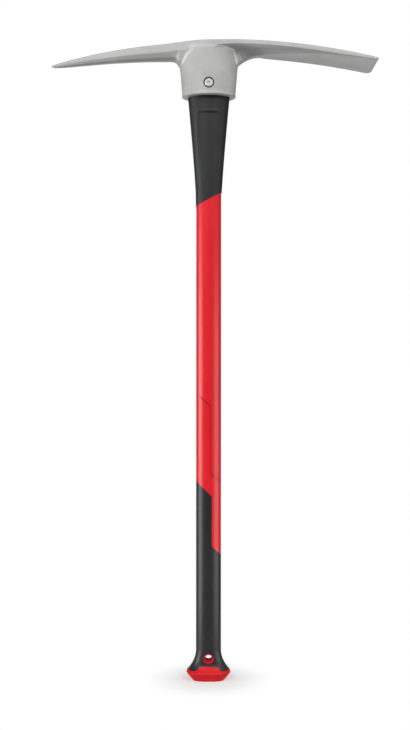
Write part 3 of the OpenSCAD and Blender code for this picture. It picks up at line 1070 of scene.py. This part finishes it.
@dataclass
class Handle:
    """Jackets, sleeve, grip and end cap on the shaft, in millimetres.

    The cutters run past the pieces by the overrun, or by the reach where there is room.
    """

    line: HandleLine
    overall: float = 914.4
    core_w: float = 26.0
    core_d: float = 18.0
    core_z: float = 47.0
    step_slope: float = 43.5
    seam_z: float = 413.0
    seam_run: float = 95.0
    seam_x: float = 2.4
    seam_half: float = 0.75
    seam_run_share: float = 0.25
    seam_depth: float = 1.5
    seam_side: float = 0.05
    seam_sunk: tuple[float, float] = (0.8, 0.99)
    seam_edge: float = 0.45
    grip_z: float = 286.5
    grip_run: float = 72.0
    grip_x: float = 4.7
    grip_skin: float = 2.4
    cap_neck_z: float = 62.0
    flare_rings: int = 24
    sleeve_l: float = 147.0
    sleeve_slope: float = 27.8
    sleeve_skin: float = 2.2
    sleeve_entry: float = 5.0
    sleeve_tail: float = 40.0
    sleeve_ring: float = 12.0
    panel_w: float = 31.0
    panel_l: float = 80.0
    panel_gap: float = 23.0
    panel_depth: float = 1.2
    panel_least: float = 0.12
    panel_edge: float = 0.9
    panel_margin: float = 4.0
    panel_rings: int = 82
    mouth_rings: int = 6
    bead_h: float = 0.35
    bead_rise: float = 1.2
    bead_w: float = 0.9
    hem_z: float = 15.5
    tongue_h: float = 6.3
    tongue_w: float = 24.0
    tongue_lean: float = 0.95
    hem_r: float = 2.4
    lanyard_z: float = 32.2
    lanyard_d: float = 11.6
    bush_wall: float = 1.8
    bush_proud: float = 0.6
    bush_lip: float = 0.6
    bush_lip_faces: int = 3
    reach: float = 60.0
    overrun: float = 5.0

    def _core(self) -> Piece:
        """Returns the space of the core."""
        return oval_rod("core", self.core_z, self.overall + self.overrun, self.core_w / 2, self.core_d / 2)

    def _straight(self, name: str, low: float, high: float, inset: float = 0.0) -> Piece:
        """Returns a straight length of the shaft's oval."""
        return oval_rod(name, low, high, self.line.shaft_w / 2 - inset, self.line.shaft_d / 2 - inset)

    def _below(self, name: str, z: float, run: float, x: float, floor: float = 0.0) -> Piece:
        """Returns the space below a stepped edge."""
        outline = step_outline(z, run, x, self.line.shaft_w / 2, self.step_slope, self.reach, floor)
        return Workbench.prism(name, outline, self.reach)

    def _below_seam(self) -> Piece:
        """Returns the space below the stepped seam."""
        return self._below("seam", self.seam_z, self.seam_run, self.seam_x)

    def _below_grip_edge(self) -> Piece:
        """Returns the space below the grip's stepped upper edge."""
        return self._below("grip_edge", self.grip_z, self.grip_run, self.grip_x)

    def _seam_groove(self) -> Piece:
        """Makes the tool for the shallow groove along the stepped seam.

        Returns:
            A band along the seam, outside an oval floor that meets the surface at the shaft's sides.
        """
        half, aside = self.seam_half, self.seam_half * self.seam_run_share
        groove = self._below("groove", self.seam_z + half, self.seam_run, self.seam_x + aside)
        under = self._below("under", self.seam_z - half, self.seam_run, self.seam_x - aside, -self.overrun)
        Workbench.carve(groove, under)
        size = (self.line.shaft_w / 2 - self.seam_side, self.line.shaft_d / 2 - self.seam_depth)
        Workbench.carve(groove, oval_rod("groove_floor", 0, self.overall, *size))
        return groove

    def _mark_seam(self, jacket: Piece) -> None:
        """Marks the bottom of the groove along the seam's slants, where the finish paints shade.

        Args:
            jacket: A jacket with the groove cut.
        """
        x, y, z = Workbench.points_of(jacket).T
        half = self.line.shaft_w / 2
        rise = math.tan(math.radians(self.step_slope))
        edge = self.seam_z - rise * (x + half) - self.seam_run * (x > self.seam_x)
        share = np.hypot(x / half, y / (self.line.shaft_d / 2))
        low, high = self.seam_sunk
        sunk = (share > low) & (share < high) & (np.abs(z - edge) < 2 * self.seam_half)
        Workbench.mark(jacket, SEAM_SHADE_MARK, sunk)

    def _above_cut(self) -> Piece:
        """Makes the space above the sleeve's slanted lower end.

        Returns:
            The closed prism.
        """
        middle = self.line.rim_z - self.sleeve_l
        lift = self.reach * math.tan(math.radians(self.sleeve_slope))
        top = self.overall + self.reach
        left, right = -self.reach, self.reach
        outline = [(left, middle - lift), (right, middle + lift), (right, top), (left, top)]
        return Workbench.prism("above_cut", outline, self.reach)

    def _below_hem(self) -> Piece:
        """Makes the space below the grip's lower hem, with the end cap's tongue.

        Returns:
            The closed prism.
        """
        top = self.tongue_w / 2
        foot = top + self.tongue_lean * self.tongue_h
        side = [(foot, self.hem_z), (top, self.hem_z + self.tongue_h)]
        line = [(-self.reach, self.hem_z), *((-x, z) for x, z in side), *side[::-1], (self.reach, self.hem_z)]
        outline = [*rounded(line, self.hem_r), (self.reach, -self.reach), (-self.reach, -self.reach)]
        return Workbench.prism("below_hem", outline, self.reach)

    def _grip_zone(self) -> Piece:
        """Makes the space between the grip's stepped upper edge and its lower hem.

        Returns:
            The closed solid.
        """
        zone = self._below_grip_edge()
        Workbench.carve(zone, self._below_hem())
        return zone

    def _finish_jacket(self, jacket: Piece, name: str, node: str, material: Material) -> Piece:
        """Bores a jacket for the core and cuts its side of the seam's groove.

        Args:
            jacket: The jacket's solid.
            name: Name of the piece.
            node: CAD node that it stands for.
            material: Material of the piece.

        Returns:
            The finished piece.
        """
        Workbench.carve(jacket, self._core())
        Workbench.carve(jacket, self._seam_groove())
        self._mark_seam(jacket)
        Workbench.shade(jacket)
        return Workbench.hand_over(jacket, name, [node], "red_plastic", material)

    def upper_jacket(self, material: Material) -> Piece:
        """Builds the red jacket from the seam up into the sleeve.

        Args:
            material: Material of the piece.

        Returns:
            The finished piece.
        """
        jacket = self._straight("upper_jacket", self.cap_neck_z, self.line.rim_z + self.sleeve_entry)
        Workbench.carve(jacket, self._below_seam())
        around = self._above_cut()
        Workbench.carve(around, self._straight("step", 0, self.overall + 2 * self.reach, self.sleeve_skin))
        Workbench.carve(jacket, around)
        return self._finish_jacket(jacket, "jacket_upper", "upper_jacket", material)

    def lower_jacket(self, material: Material) -> Piece:
        """Builds the red jacket below the seam, drawn in under the grip.

        Args:
            material: Material of the piece.

        Returns:
            The finished piece.
        """
        jacket = self._straight("lower_jacket", self.cap_neck_z, self.seam_z + self.overrun)
        Workbench.carve(jacket, self._below_seam(), Cut.KEEP_COMMON)
        around = self._below_grip_edge()
        Workbench.carve(around, self._straight("step", -self.reach, self.seam_z, self.grip_skin))
        Workbench.carve(jacket, around)
        return self._finish_jacket(jacket, "jacket_lower", "lower_jacket", material)

    def _panel_depth(self, points: np.ndarray) -> np.ndarray:
        """Works out how far the sleeve's panels draw its points in.

        Args:
            points: Rows of x, y and z on the plain sleeve.

        Returns:
            The depth at each point, negative along the bead over a panel.
        """
        x, _, z = points.T
        top = self.line.rim_z - self.panel_gap
        end = top - self.panel_l
        across = np.clip((self.panel_w / 2 - np.abs(x)) / self.panel_edge, 0, 1)
        ends = np.clip(np.minimum(top - z, z - end) / self.panel_edge, 0, 1)
        fade = self.panel_least + (1 - self.panel_least) * np.clip((z - end) / self.panel_l, 0, 1)
        bead = self.bead_h * np.exp(-(((z - top - self.bead_rise) / self.bead_w) ** 2))
        return (self.panel_depth * fade * ends - bead) * across

    def sleeve(self, material: Material) -> Piece:
        """Builds the black sleeve with its recessed panels.

        Args:
            material: Material of the piece.

        Returns:
            The finished piece.
        """
        rim = self.line.rim_z
        top = rim - self.panel_gap
        heights = np.concatenate([
            [rim - self.line.sleeve_flare - self.sleeve_tail, rim - self.sleeve_l + self.sleeve_ring],
            np.linspace(top - self.panel_l - self.panel_margin, top + self.panel_margin, self.panel_rings),
            np.linspace(top + 2 * self.panel_margin, rim, self.mouth_rings),
            [rim + self.sleeve_entry],
        ])
        sleeve = self.line.solid("sleeve", list(heights), sides=SLEEVE_SIDES)
        points = Workbench.points_of(sleeve)
        points[:, :2] *= (1 - self._panel_depth(points) / np.hypot(points[:, 0], points[:, 1]))[:, None]
        Workbench.place_points(sleeve, points)
        Workbench.carve(sleeve, self._above_cut(), Cut.KEEP_COMMON)
        Workbench.carve(sleeve, self._straight("bore", 0, self.overall, self.sleeve_skin))
        Workbench.soften(sleeve, self.seam_edge)
        Workbench.shade(sleeve)
        nodes = ["overstrike_sleeve"]
        return Workbench.hand_over(sleeve, "sleeve_overstrike", nodes, "black_plastic", material)

    def _flare_heights(self) -> list[float]:
        """Lists the heights of the rings from the butt to the end of the flare.

        Returns:
            The heights, upwards.
        """
        line = self.line
        low = [0.0, line.butt_edge, line.cap_rim_z - line.cap_rim_h, line.cap_rim_z]
        return low + list(np.linspace(line.rim_top, line.flare_z, self.flare_rings))

    def _inside_grip(self) -> Piece:
        """Returns the space inside the grip."""
        heights = [-self.overrun, *self._flare_heights(), self.grip_z + 2 * self.reach]
        return self.line.solid("inside_grip", heights, self.grip_skin)

    def _bush_bore(self) -> Piece:
        """Returns the bore that the bush of the lanyard hole fills."""
        diameter = self.lanyard_d + 2 * self.bush_wall
        return Workbench.cross_rod("bush_bore", self.lanyard_z, diameter, -self.reach, self.reach)

    def grip(self, material: Material) -> Piece:
        """Builds the black grip with its stepped upper edge and lower hem.

        Args:
            material: Material of the piece.

        Returns:
            The finished piece.
        """
        grip = self.line.solid("grip", [*self._flare_heights(), self.grip_z + self.reach])
        Workbench.carve(grip, self._grip_zone(), Cut.KEEP_COMMON)
        Workbench.carve(grip, self._inside_grip())
        Workbench.carve(grip, self._bush_bore())
        Workbench.soften(grip, self.seam_edge)
        Workbench.shade(grip)
        return Workbench.hand_over(grip, "grip_skin", ["rubber_grip"], "grip_rubber", material)

    def end_cap(self, material: Material) -> Piece:
        """Builds the red knob that closes the handle.

        Args:
            material: Material of the piece.

        Returns:
            The finished piece.
        """
        cap = self.line.solid("cap", [*self._flare_heights(), self.cap_neck_z])
        around = self._grip_zone()
        Workbench.carve(around, self._inside_grip())
        for space in (around, self._core(), self._bush_bore()):
            Workbench.carve(cap, space)
        Workbench.soften(cap, self.seam_edge)
        Workbench.shade(cap)
        return Workbench.hand_over(cap, "cap_knob", ["end_cap"], "red_plastic", material)

    def bush(self, material: Material) -> Piece:
        """Builds the red bush with its rounded lips.

        Args:
            material: Material of the piece.

        Returns:
            The finished piece.
        """
        half = self.line.shaft_d / 2 + self.bush_proud
        bush = Workbench.cross_rod("bush", self.lanyard_z, self.lanyard_d + 2 * self.bush_wall, -half, half)
        hole = Workbench.cross_rod("hole", self.lanyard_z, self.lanyard_d, -self.reach, self.reach)
        Workbench.carve(bush, hole)
        Workbench.soften(bush, self.bush_lip, self.bush_lip_faces)
        Workbench.shade(bush)
        return Workbench.hand_over(bush, "bush_lanyard", ["lanyard_bush"], "red_plastic", material)


@dataclass
class ForgedHead:
    """Pick, adze, web and socket of the head, forged in one piece, in millimetres."""

    overall: float = 914.4
    pick_reach: float = 227.0
    pick_arc_r: float = 875.0
    pick_root_w: float = 31.0
    pick_root_h: float = 22.8
    pick_side_h: float = 12.0
    pick_share: float = 0.6
    pick_keel_w: float = 7.0
    pick_tip: float = 2.2
    pick_fillet: float = 10.0
    pick_blend_l: float = 68.0
    pick_power: float = 0.6
    adze_reach: float = 240.0
    adze_arc_r: float = 815.0
    adze_arc_x: float = 28.0
    adze_root_w: float = 63.0
    adze_edge_w: float = 80.0
    adze_side_h: float = 6.6
    adze_root_h: float = 15.5
    adze_bevel_h: float = 4.8
    adze_bevel_l: float = 8.0
    adze_edge_h: float = 1.3
    adze_corner_r: float = 5.0
    web_drop: float = 11.5
    web_l: float = 31.0
    web_keel_w: float = 13.0
    web_spread: float = 2.5
    web_root: float = 1.8
    blade_power: float = 0.62
    blade_lean: float = 0.25
    side_share: float = 0.85
    side_blend_from: float = 25.0
    side_blend_l: float = 58.0
    crown_break: float = 1.2
    fullness: tuple[float, float] = (0.62, 0.7)
    hollow: tuple[float, float] = (0.35, 0.18)
    straight: float = 0.5
    plan_rise: float = -1.0
    boss_from: float = -70.0
    boss_to: float = 100.0
    pick_rings: int = 60
    boss_rings: int = 130
    blade_rings: int = 40
    bevel_rings: int = 16
    socket_h: float = 76.6
    socket_w: float = 76.2
    socket_d: float = 56.4
    crown_a: float = 44.25
    crown_b: float = 30.3
    socket_wall: float = 7.75
    socket_cover: float = 8.0
    boss_proud: float = 1.0
    shoulder_r: float = 2.5
    shoulder_rings: int = 7
    rim_chamfer: float = 0.8
    rim_lip: float = 0.45
    rim_lip_h: float = 3.6
    rim_lip_fade: float = 1.2
    rim_zone: float = 6.0
    rim_rings: int = 13
    wall_rings: int = 12
    bolt_rise: float = 16.0
    bolt_bore_d: float = 10.3
    counterbore_d: float = 15.4
    bolt_seat_depth: float = 3.6
    cutter_reach: float = 80.0
    overrun: float = 1.0
    voxel: float = 0.72
    keep_share: float = 0.5
    smooth_passes: int = 3
    smooth_angle: float = 40.0
    fillet_passes: int = 3
    fillet_reach: float = 6.0
    fillet_below: float = 1.0
    web_fillet_reach: float = 18.0
    web_fillet_x: float = 26.0
    web_fillet_over: float = 14.0
    web_fillet_below: float = 3.0
    web_fillet_depth: float = 8.0
    # Painted highlight along the fillets: its width, the corner bend it needs, its fade-in by height and away
    # from the middle, and its least share there
    highlight_w: float = 1.3
    highlight_bend: float = 0.3
    highlight_z: float = 881.0
    highlight_rise: float = 10.0
    highlight_x: float = 17.0
    highlight_over: float = 11.0
    highlight_least: float = 0.15

    @property
    def rim_z(self) -> float:
        """Height of the socket's rim."""
        return self.overall - self.socket_h

    @property
    def bevel_x(self) -> float:
        """Place where the adze's bevel begins."""
        return self.adze_reach - self.adze_bevel_l

    @property
    def fillet_x(self) -> float:
        """Place where the fillet under the pick ends, just inside the socket's side."""
        return self.plan_rise - self.socket_half(self.overall - self.pick_root_h - self.pick_fillet)[0]

    def socket_half(self, z: float) -> tuple[float, float]:
        """Works out the socket's oval at a height.

        Args:
            z: The height.

        Returns:
            The half width and the half depth.
        """
        share = (z - self.overall + self.socket_h) / self.socket_h
        half_w, half_d = self.socket_w / 2, self.socket_d / 2
        return (half_w + (self.crown_a - half_w) * share, half_d + (self.crown_b - half_d) * share)

    def crown(self, x: float) -> float:
        """Works out the height of the crown.

        Args:
            x: Place along the head.

        Returns:
            The height.
        """
        if x < 0:
            return self.overall - self.pick_arc_r + math.sqrt(self.pick_arc_r**2 - x * x)
        run = max(x - self.adze_arc_x, 0.0)
        return self.overall - self.adze_arc_r + math.sqrt(self.adze_arc_r**2 - run * run)

    def _plan_half(self, x: float) -> float:
        """Works out the half width of the socket's plan, just inside its top.

        Args:
            x: Place along the head.

        Returns:
            The half width, or 0 past the socket.
        """
        if abs(x) >= self.crown_a:
            return 0.0
        return self.crown_b * math.sqrt(1 - (x / self.crown_a) ** 2) + self.plan_rise

    def _pick_size(self, x: float, root: float) -> float:
        """Returns a size of the pick at x that tapers to the blunt tip."""
        share = clamp((x + self.pick_reach) / (self.pick_reach - self.crown_a))
        return self.pick_tip + (root - self.pick_tip) * share**self.pick_power

    def _upright(self, x: float) -> float:
        """Returns the height of the upright sides at x, which lessens over the boss."""
        share = smooth_step((x + self.side_blend_from) / self.side_blend_l)
        return self.pick_side_h + (self.adze_side_h - self.pick_side_h) * share

    def _pick_section(self, x: float) -> tuple[float, ...]:
        """Works out the section on the pick's side.

        Args:
            x: Place along the head.

        Returns:
            Half width, side, keel and depth, and the two shares of the flank's bend.
        """
        blend = smooth_step((x + self.pick_blend_l) / self.pick_blend_l)
        half = self._pick_size(x, self.pick_root_w) / 2
        half = max(half + (self.crown_b - half) * blend, self._plan_half(x))
        depth = self._pick_size(x, self.pick_root_h)
        drop = quarter_round(x, self.fillet_x, self.pick_fillet)
        side = min(self._upright(x), self.pick_share * depth)
        return (half, side, self._pick_size(x, self.pick_keel_w) / 2, depth + drop, *self.fullness)

    def _adze_section(self, x: float) -> tuple[float, ...]:
        """Works out the section on the adze's side.

        Args:
            x: Place along the head.

        Returns:
            Half width, side, keel and depth, and the two shares of the flank's bend.
        """
        web_x = self.crown_a + self.web_l
        share = clamp((x - web_x) / (self.bevel_x - web_x))
        spread = clamp((x - web_x) / (self.adze_reach - web_x)) ** 2
        growth = min(max((web_x - x) / self.web_l, 0.0) ** 2, self.web_root)
        ground = max((x - self.bevel_x) / self.adze_bevel_l, 0.0)
        root, edge = self.adze_root_w / 2, self.adze_edge_w / 2
        root = self.crown_b + (root - self.crown_b) * smooth_step(x / self.crown_a)
        half = root + (edge - root) * spread - quarter_round(x, self.adze_reach, self.adze_corner_r)
        half = max(half, self._plan_half(x))
        depth = self.adze_root_h + (self.adze_bevel_h - self.adze_root_h) * share
        depth += self.web_drop * growth + (self.adze_edge_h - self.adze_bevel_h) * ground
        web_half = self.web_keel_w / 2 + self.web_spread * growth
        keel = web_half + (edge - web_half) * share**self.blade_power
        keel = min(keel, half - self.blade_lean * depth * share)
        bend = [hollow + (self.straight - hollow) * clamp(2 * share) for hollow in self.hollow]
        return (half, min(self._upright(x), self.side_share * depth), keel, depth, *bend)

    def section(self, x: float) -> np.ndarray:
        """Draws the section of the arms.

        Args:
            x: Place along the head.

        Returns:
            Its ten points, as rows of x, y and z.
        """
        half, side, keel, depth, bend_w, bend_h = self._pick_section(x) if x < 0 else self._adze_section(x)
        brk = min(self.crown_break, half / 3, side / 3)
        bend = (keel + (half - keel) * bend_w, -side - (depth - side) * bend_h)
        flank = [(half - brk, 0.0), (half, -brk), (half, -side), bend, (keel, -depth)]
        ring = [(-y, z) for y, z in flank] + flank[::-1]
        return np.array([(x, y, self.crown(x) + z) for y, z in ring])

    def _arms(self) -> Piece:
        """Shapes the pick, the web and the adze.

        Returns:
            The closed solid.
        """
        bevel = np.sin(np.linspace(0, math.pi / 2, self.bevel_rings)[1:])
        stations = np.concatenate([
            np.linspace(-self.pick_reach, self.boss_from, self.pick_rings),
            np.linspace(self.boss_from + 1, self.boss_to, self.boss_rings),
            np.linspace(self.boss_to + 2, self.bevel_x, self.blade_rings),
            self.adze_reach - self.adze_bevel_l * (1 - bevel),
        ])
        blank = Workbench.turned_blank("arms", SECTION_POINTS, len(stations))
        points = Workbench.points_of(blank) * MM
        level = np.rint(points[:, 2] * (len(stations) - 1)).astype(int)
        turn = np.arctan2(points[:, 1], points[:, 0]) / (2 * math.pi / SECTION_POINTS)
        side = np.floor(turn).astype(int) % SECTION_POINTS
        rings = np.array([self.section(float(x)) for x in stations])
        Workbench.place_points(blank, rings[level, side])
        Workbench.outward(blank)
        return blank

    def _socket(self) -> Piece:
        """Shapes the socket, with a low lip at its rim and a rounded shoulder.

        Returns:
            The closed solid.
        """
        rim = self.rim_z
        top = self.overall - self.socket_cover
        near_rim = np.linspace(rim - self.rim_zone, rim + self.rim_zone, self.rim_rings)
        wall = np.linspace(rim + self.rim_zone + 2, top - self.shoulder_r, self.wall_rings)
        rings = []
        for z in [*near_rim, *wall]:
            share = (z - rim) / (top - rim)
            lip_end = self.rim_lip_h + self.rim_lip_fade / 2
            lip = self.rim_lip * smooth_step((lip_end - (z - rim)) / self.rim_lip_fade)
            half = self.socket_half(float(z))
            rings.append((float(z), half[0] + lip, half[1] + lip + self.boss_proud * share, OVAL))
        last = rings[-1]
        for angle in np.linspace(0, math.pi / 2, self.shoulder_rings)[1:]:
            draw = self.shoulder_r * (1 - math.cos(angle))
            rings.append((last[0] + self.shoulder_r * math.sin(angle), last[1] - draw, last[2] - draw, OVAL))
        return oval_solid("socket", rings, SOCKET_SIDES)

    def _rim_cutter(self) -> Piece:
        """Makes the tool that cuts the socket's rim flat and chamfers it.

        Returns:
            A wide block below the rim, with a cone taken out of it.
        """
        rim, wide, chamfer = self.rim_z, self.cutter_reach, self.rim_chamfer
        half = self.socket_half(rim + chamfer)
        block = [(z, wide, wide, OVAL) for z in (rim - wide, rim + chamfer)]
        cone = [
            (rim + rise, half[0] - chamfer + rise, half[1] - chamfer + rise, OVAL)
            for rise in (0.0, chamfer + self.overrun)
        ]
        tool = oval_solid("rim_cutter", block, SOCKET_SIDES)
        Workbench.carve(tool, oval_solid("cone", cone, SOCKET_SIDES))
        return tool

    def _eye(self) -> Piece:
        """Makes the space of the tapered eye.

        Returns:
            The closed solid.
        """
        rings = []
        for z in (self.rim_z - self.overrun, self.overall + self.overrun):
            half_w, half_d = self.socket_half(z)
            rings.append((z, half_w - self.socket_wall, half_d - self.socket_wall, OVAL))
        return oval_solid("eye", rings, EYE_SIDES)

    def _fillet_reach_at(self, x: float, z: float) -> float:
        """Works out how far a fillet reaches, which is farther under the web.

        Args:
            x: Place along the head.
            z: The height.

        Returns:
            The reach, or 0 beside and above the upright sides.
        """
        below = self.crown(x) - self._upright(x) - z
        if below < self.fillet_below:
            return 0.0
        low = smooth_step((below - self.web_fillet_below) / self.web_fillet_depth)
        wide = smooth_step((x - self.web_fillet_x) / self.web_fillet_over) * low
        return self.fillet_reach + (self.web_fillet_reach - self.fillet_reach) * wide

    def _blend(self, head: Piece, trees: Sequence[BVHTree]) -> None:
        """Fills the corner between two solids with a smooth fillet.

        Args:
            head: Mesh of both solids together.
            trees: Search trees of the two solids.
        """
        for _ in range(self.fillet_passes):
            moved = []
            for vertex in head.data.vertices:
                reach = self._fillet_reach_at(vertex.co.x / MM, vertex.co.z / MM) * MM
                near = [signed_gap(tree, vertex.co, 2 * reach) for tree in trees] if reach else [None]
                if None in near:
                    continue
                gaps = [gap for gap, _ in near]
                corner = clamp(1.0 - near[0][1].dot(near[1][1]))
                share = max(reach * corner - abs(gaps[0] - gaps[1]), 0.0) / reach
                # The surface is where the smooth minimum of both gaps is zero
                depth = min(gaps) - share * share * reach / 4
                if share > 0:
                    moved.append((vertex, vertex.normal * -depth))
            for vertex, step in moved:
                vertex.co += step
            head.data.update()

    def _mark_fillets(self, head: Piece, trees: Sequence[BVHTree]) -> None:
        """Marks the points along the corner between two solids, where the finish paints a highlight.

        Args:
            head: Mesh of the finished head.
            trees: Search trees of the two solids.
        """
        marks = np.zeros(len(head.data.vertices))
        for vertex in head.data.vertices:
            near = [signed_gap(tree, vertex.co, self.fillet_reach * MM) for tree in trees]
            if None in near:
                continue
            apart = (near[0][0] - near[1][0]) / MM
            corner = clamp((1.0 - near[0][1].dot(near[1][1])) / self.highlight_bend)
            rise = smooth_step((vertex.co.z / MM - self.highlight_z) / self.highlight_rise)
            aside = smooth_step((abs(vertex.co.x) / MM - self.highlight_x) / self.highlight_over)
            aside = self.highlight_least + (1 - self.highlight_least) * aside
            marks[vertex.index] = corner * rise * aside * math.exp(-((apart / self.highlight_w) ** 2))
        Workbench.mark(head, FILLET_HIGHLIGHT_MARK, marks)

    def _drill(self, head: Piece) -> None:
        """Drills the bolt's bore through the socket, with a seat at the front and at the back.

        Args:
            head: The head's solid.
        """
        z = self.rim_z + self.bolt_rise
        out = self.cutter_reach
        seat = self.socket_half(z)[1] - self.bolt_seat_depth
        Workbench.carve(head, Workbench.cross_rod("bore", z, self.bolt_bore_d, -out, out))
        for y_from, y_to in ((-out, -seat), (seat, out)):
            Workbench.carve(head, Workbench.cross_rod("counterbore", z, self.counterbore_d, y_from, y_to))

    def build(self, material: Material) -> Piece:
        """Forges the head: arms and socket in one, blended, then eye and bolt holes cut.

        Args:
            material: Material of the piece.

        Returns:
            The finished piece.
        """
        head, socket = self._arms(), self._socket()
        trees = [tree_of(head), tree_of(socket)]
        Workbench.take(head)
        socket.select_set(True)
        bpy.ops.object.join()
        Workbench.apply(head, "REMESH", mode="VOXEL", voxel_size=self.voxel * MM, adaptivity=0.0)
        self._blend(head, trees)
        Workbench.apply(head, "SMOOTH", factor=0.5, iterations=self.smooth_passes)
        Workbench.apply(head, "DECIMATE", ratio=self.keep_share)
        Workbench.carve(head, self._rim_cutter())
        Workbench.carve(head, self._eye())
        self._drill(head)
        self._mark_fillets(head, trees)
        Workbench.shade(head, self.smooth_angle)
        return Workbench.hand_over(head, "head_forged", ["pick_head"], "head_steel", material)


@dataclass(frozen=True)
class Softbox:
    """A softbox: place, aim, width and height in metres, power in watts and beam in degrees."""

    name: str
    at: Place
    aim: Place
    size: tuple[float, float]
    power: float
    spread: float = 180.0

    def hang(self) -> None:
        """Adds the softbox to the scene, turned to its aim."""
        data = bpy.data.lights.new(self.name, "AREA")
        data.shape = "RECTANGLE"
        data.size, data.size_y = self.size
        data.energy = self.power
        data.spread = math.radians(self.spread)
        lamp = bpy.data.objects.new(self.name, data)
        bpy.context.scene.collection.objects.link(lamp)
        lamp.location = self.at
        lamp.rotation_euler = (Vector(self.aim) - Vector(self.at)).to_track_quat("-Z", "Y").to_euler()


# Sides of the handle, key from the front, sides of the head, and fill from the front
SOFTBOXES = (
    Softbox("left_box", (-1.8, -0.62, -0.1), (0, 0, -0.58), (1.2, 1.8), 17.0, 120.0),
    Softbox("right_box", (1.68, -0.8, -0.1), (0, 0, -0.5), (1.5, 1.5), 10.0, 120.0),
    Softbox("key_box", (-0.8, -1.9, 2.0), (0, 0, 0.6), (1.2, 1.0), 24.0),
    Softbox("left_low", (-1.7, -0.45, 0.42), (0, 0, 0.87), (0.9, 0.6), 0.5, 36.0),
    Softbox("right_high", (1.6, -0.3, 1.65), (0, 0, 0.87), (0.6, 0.5), 3.0),
    Softbox("right_fill", (1.0, -1.8, 2.2), (0, 0, 0.5), (1.2, 1.2), 28.0),
)


@dataclass
class Studio:
    """White studio: camera in millimetres, backdrop and floor in metres."""

    focal: float = 54.68
    sensor: float = 36.0
    camera_at: Place = (-5.26, -1600.0, 452.9)
    roll: float = -0.034
    sight: float = 50.0
    glow_y: tuple[float, float] = (0.5, 0.95)
    glow_z: tuple[float, float] = (-0.4, -0.08)
    glow_levels: tuple[float, float] = (1.25, 0.3)
    room_level: float = 0.04
    floor_r: float = 0.3
    floor_white: Colour = (0.9, 0.9, 0.9)
    floor_mirrored: Colour = (0.55, 0.55, 0.55)
    fade_r: tuple[float, float] = (0.012, 0.1)
    fade_least: float = 0.4

    def camera(self) -> None:
        """Sets the camera level with the middle of the handle."""
        data = bpy.data.cameras.new("camera")
        data.lens = self.focal
        data.sensor_width = self.sensor
        data.clip_end = self.sight
        camera = bpy.data.objects.new("camera", data)
        bpy.context.scene.collection.objects.link(camera)
        camera.location = Vector(self.camera_at) * MM
        camera.rotation_euler = (math.pi / 2, math.radians(self.roll), 0)
        bpy.context.scene.camera = camera

    def backdrop(self) -> None:
        """Lights the world white for the camera, and for other rays brightest behind and below."""
        world = bpy.data.worlds.new("studio")
        bpy.context.scene.world = world
        world.use_nodes = True
        tree = NodeTree(world.node_tree)
        toward = tree.split(tree.add("TexCoord").outputs["Generated"])
        behind = tree.remap(toward.outputs["Y"], *self.glow_y)
        below = tree.remap(toward.outputs["Z"], *self.glow_z, *self.glow_levels)
        level = tree.math("ADD", tree.math("MULTIPLY", behind, below), self.room_level)
        seen = tree.add("LightPath").outputs["Is Camera Ray"]
        hidden = tree.math("SUBTRACT", 1.0, seen)
        strength = tree.math("ADD", tree.math("MULTIPLY", hidden, level), seen)
        shader = tree.feed(tree.add("Background"), Color=(1.0, 1.0, 1.0, 1.0), Strength=strength)
        tree.feed(tree.add("OutputWorld"), Surface=shader.outputs["Background"])

    def floor(self) -> None:
        """Lays a white floor that keeps the shadow near the object and fades into the backdrop."""
        Workbench.clear_selection()
        bpy.ops.mesh.primitive_circle_add(
            vertices=SHAFT_SIDES, radius=self.floor_r, fill_type="NGON", location=(0, 0, 0)
        )
        floor = bpy.context.object
        floor.name = "floor"
        material = bpy.data.materials.new("pale_floor")
        material.use_nodes = True
        tree = NodeTree(material.node_tree)
        away = tree.add("VectorMath", operation="LENGTH")
        tree.join(away.inputs[0], tree.add("TexCoord").outputs["Object"])
        rays = tree.add("LightPath")
        seen = rays.outputs["Is Camera Ray"]
        fade = tree.math("MULTIPLY", tree.remap(away.outputs["Value"], *self.fade_r, self.fade_least), seen)
        lit = tree.math("ADD", seen, rays.outputs["Is Diffuse Ray"])
        matt = tree.feed(tree.add("BsdfDiffuse"), Color=tree.mix(lit, self.floor_mirrored, self.floor_white))
        glow = tree.feed(tree.add("Emission"), Color=(1.0, 1.0, 1.0, 1.0), Strength=1.0)
        shader = tree.add("MixShader")
        for socket, value in zip(shader.inputs, (fade, matt.outputs[0], glow.outputs[0])):
            tree.join(socket, value)
        tree.feed(tree.add("OutputMaterial"), Surface=shader.outputs[0])
        floor.data.materials.append(material)

    def build(self) -> None:
        """Sets up the whole studio."""
        bpy.context.scene.view_settings.view_transform = "Standard"
        self.camera()
        for softbox in SOFTBOXES:
            softbox.hang()
        self.backdrop()
        self.floor()


def main() -> None:
    """Builds and dresses each piece in order, then the studio, and logs each piece's face count."""
    logging.basicConfig(level=logging.INFO, format="%(message)s")
    effects = EffectLibrary()
    handle = Handle(HandleLine())
    plan = (
        (handle.upper_jacket, RED_MOULDING),
        (handle.lower_jacket, RED_MOULDING),
        (handle.sleeve, BLACK_MOULDING),
        (handle.grip, GRIP_RUBBER),
        (handle.end_cap, RED_KNOB),
        (handle.bush, RED_BUSH),
        (ForgedHead().build, FORGED_STEEL),
    )
    finishes = dict.fromkeys([*(finish for _, finish in plan), *KEPT_NODES.values()])
    materials = {finish: finish.build(effects) for finish in finishes}
    for make, finish in plan:
        piece = make(materials[finish])
        LOG.info("%s: %d faces, %s", piece.name, len(piece.data.polygons), finish.name)
    for node, finish in KEPT_NODES.items():
        Workbench.dress(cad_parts[node], materials[finish])
        LOG.info("%s: kept from the CAD, %s", node, finish.name)
    Studio().build()


if __name__ == "__main__":
    main()
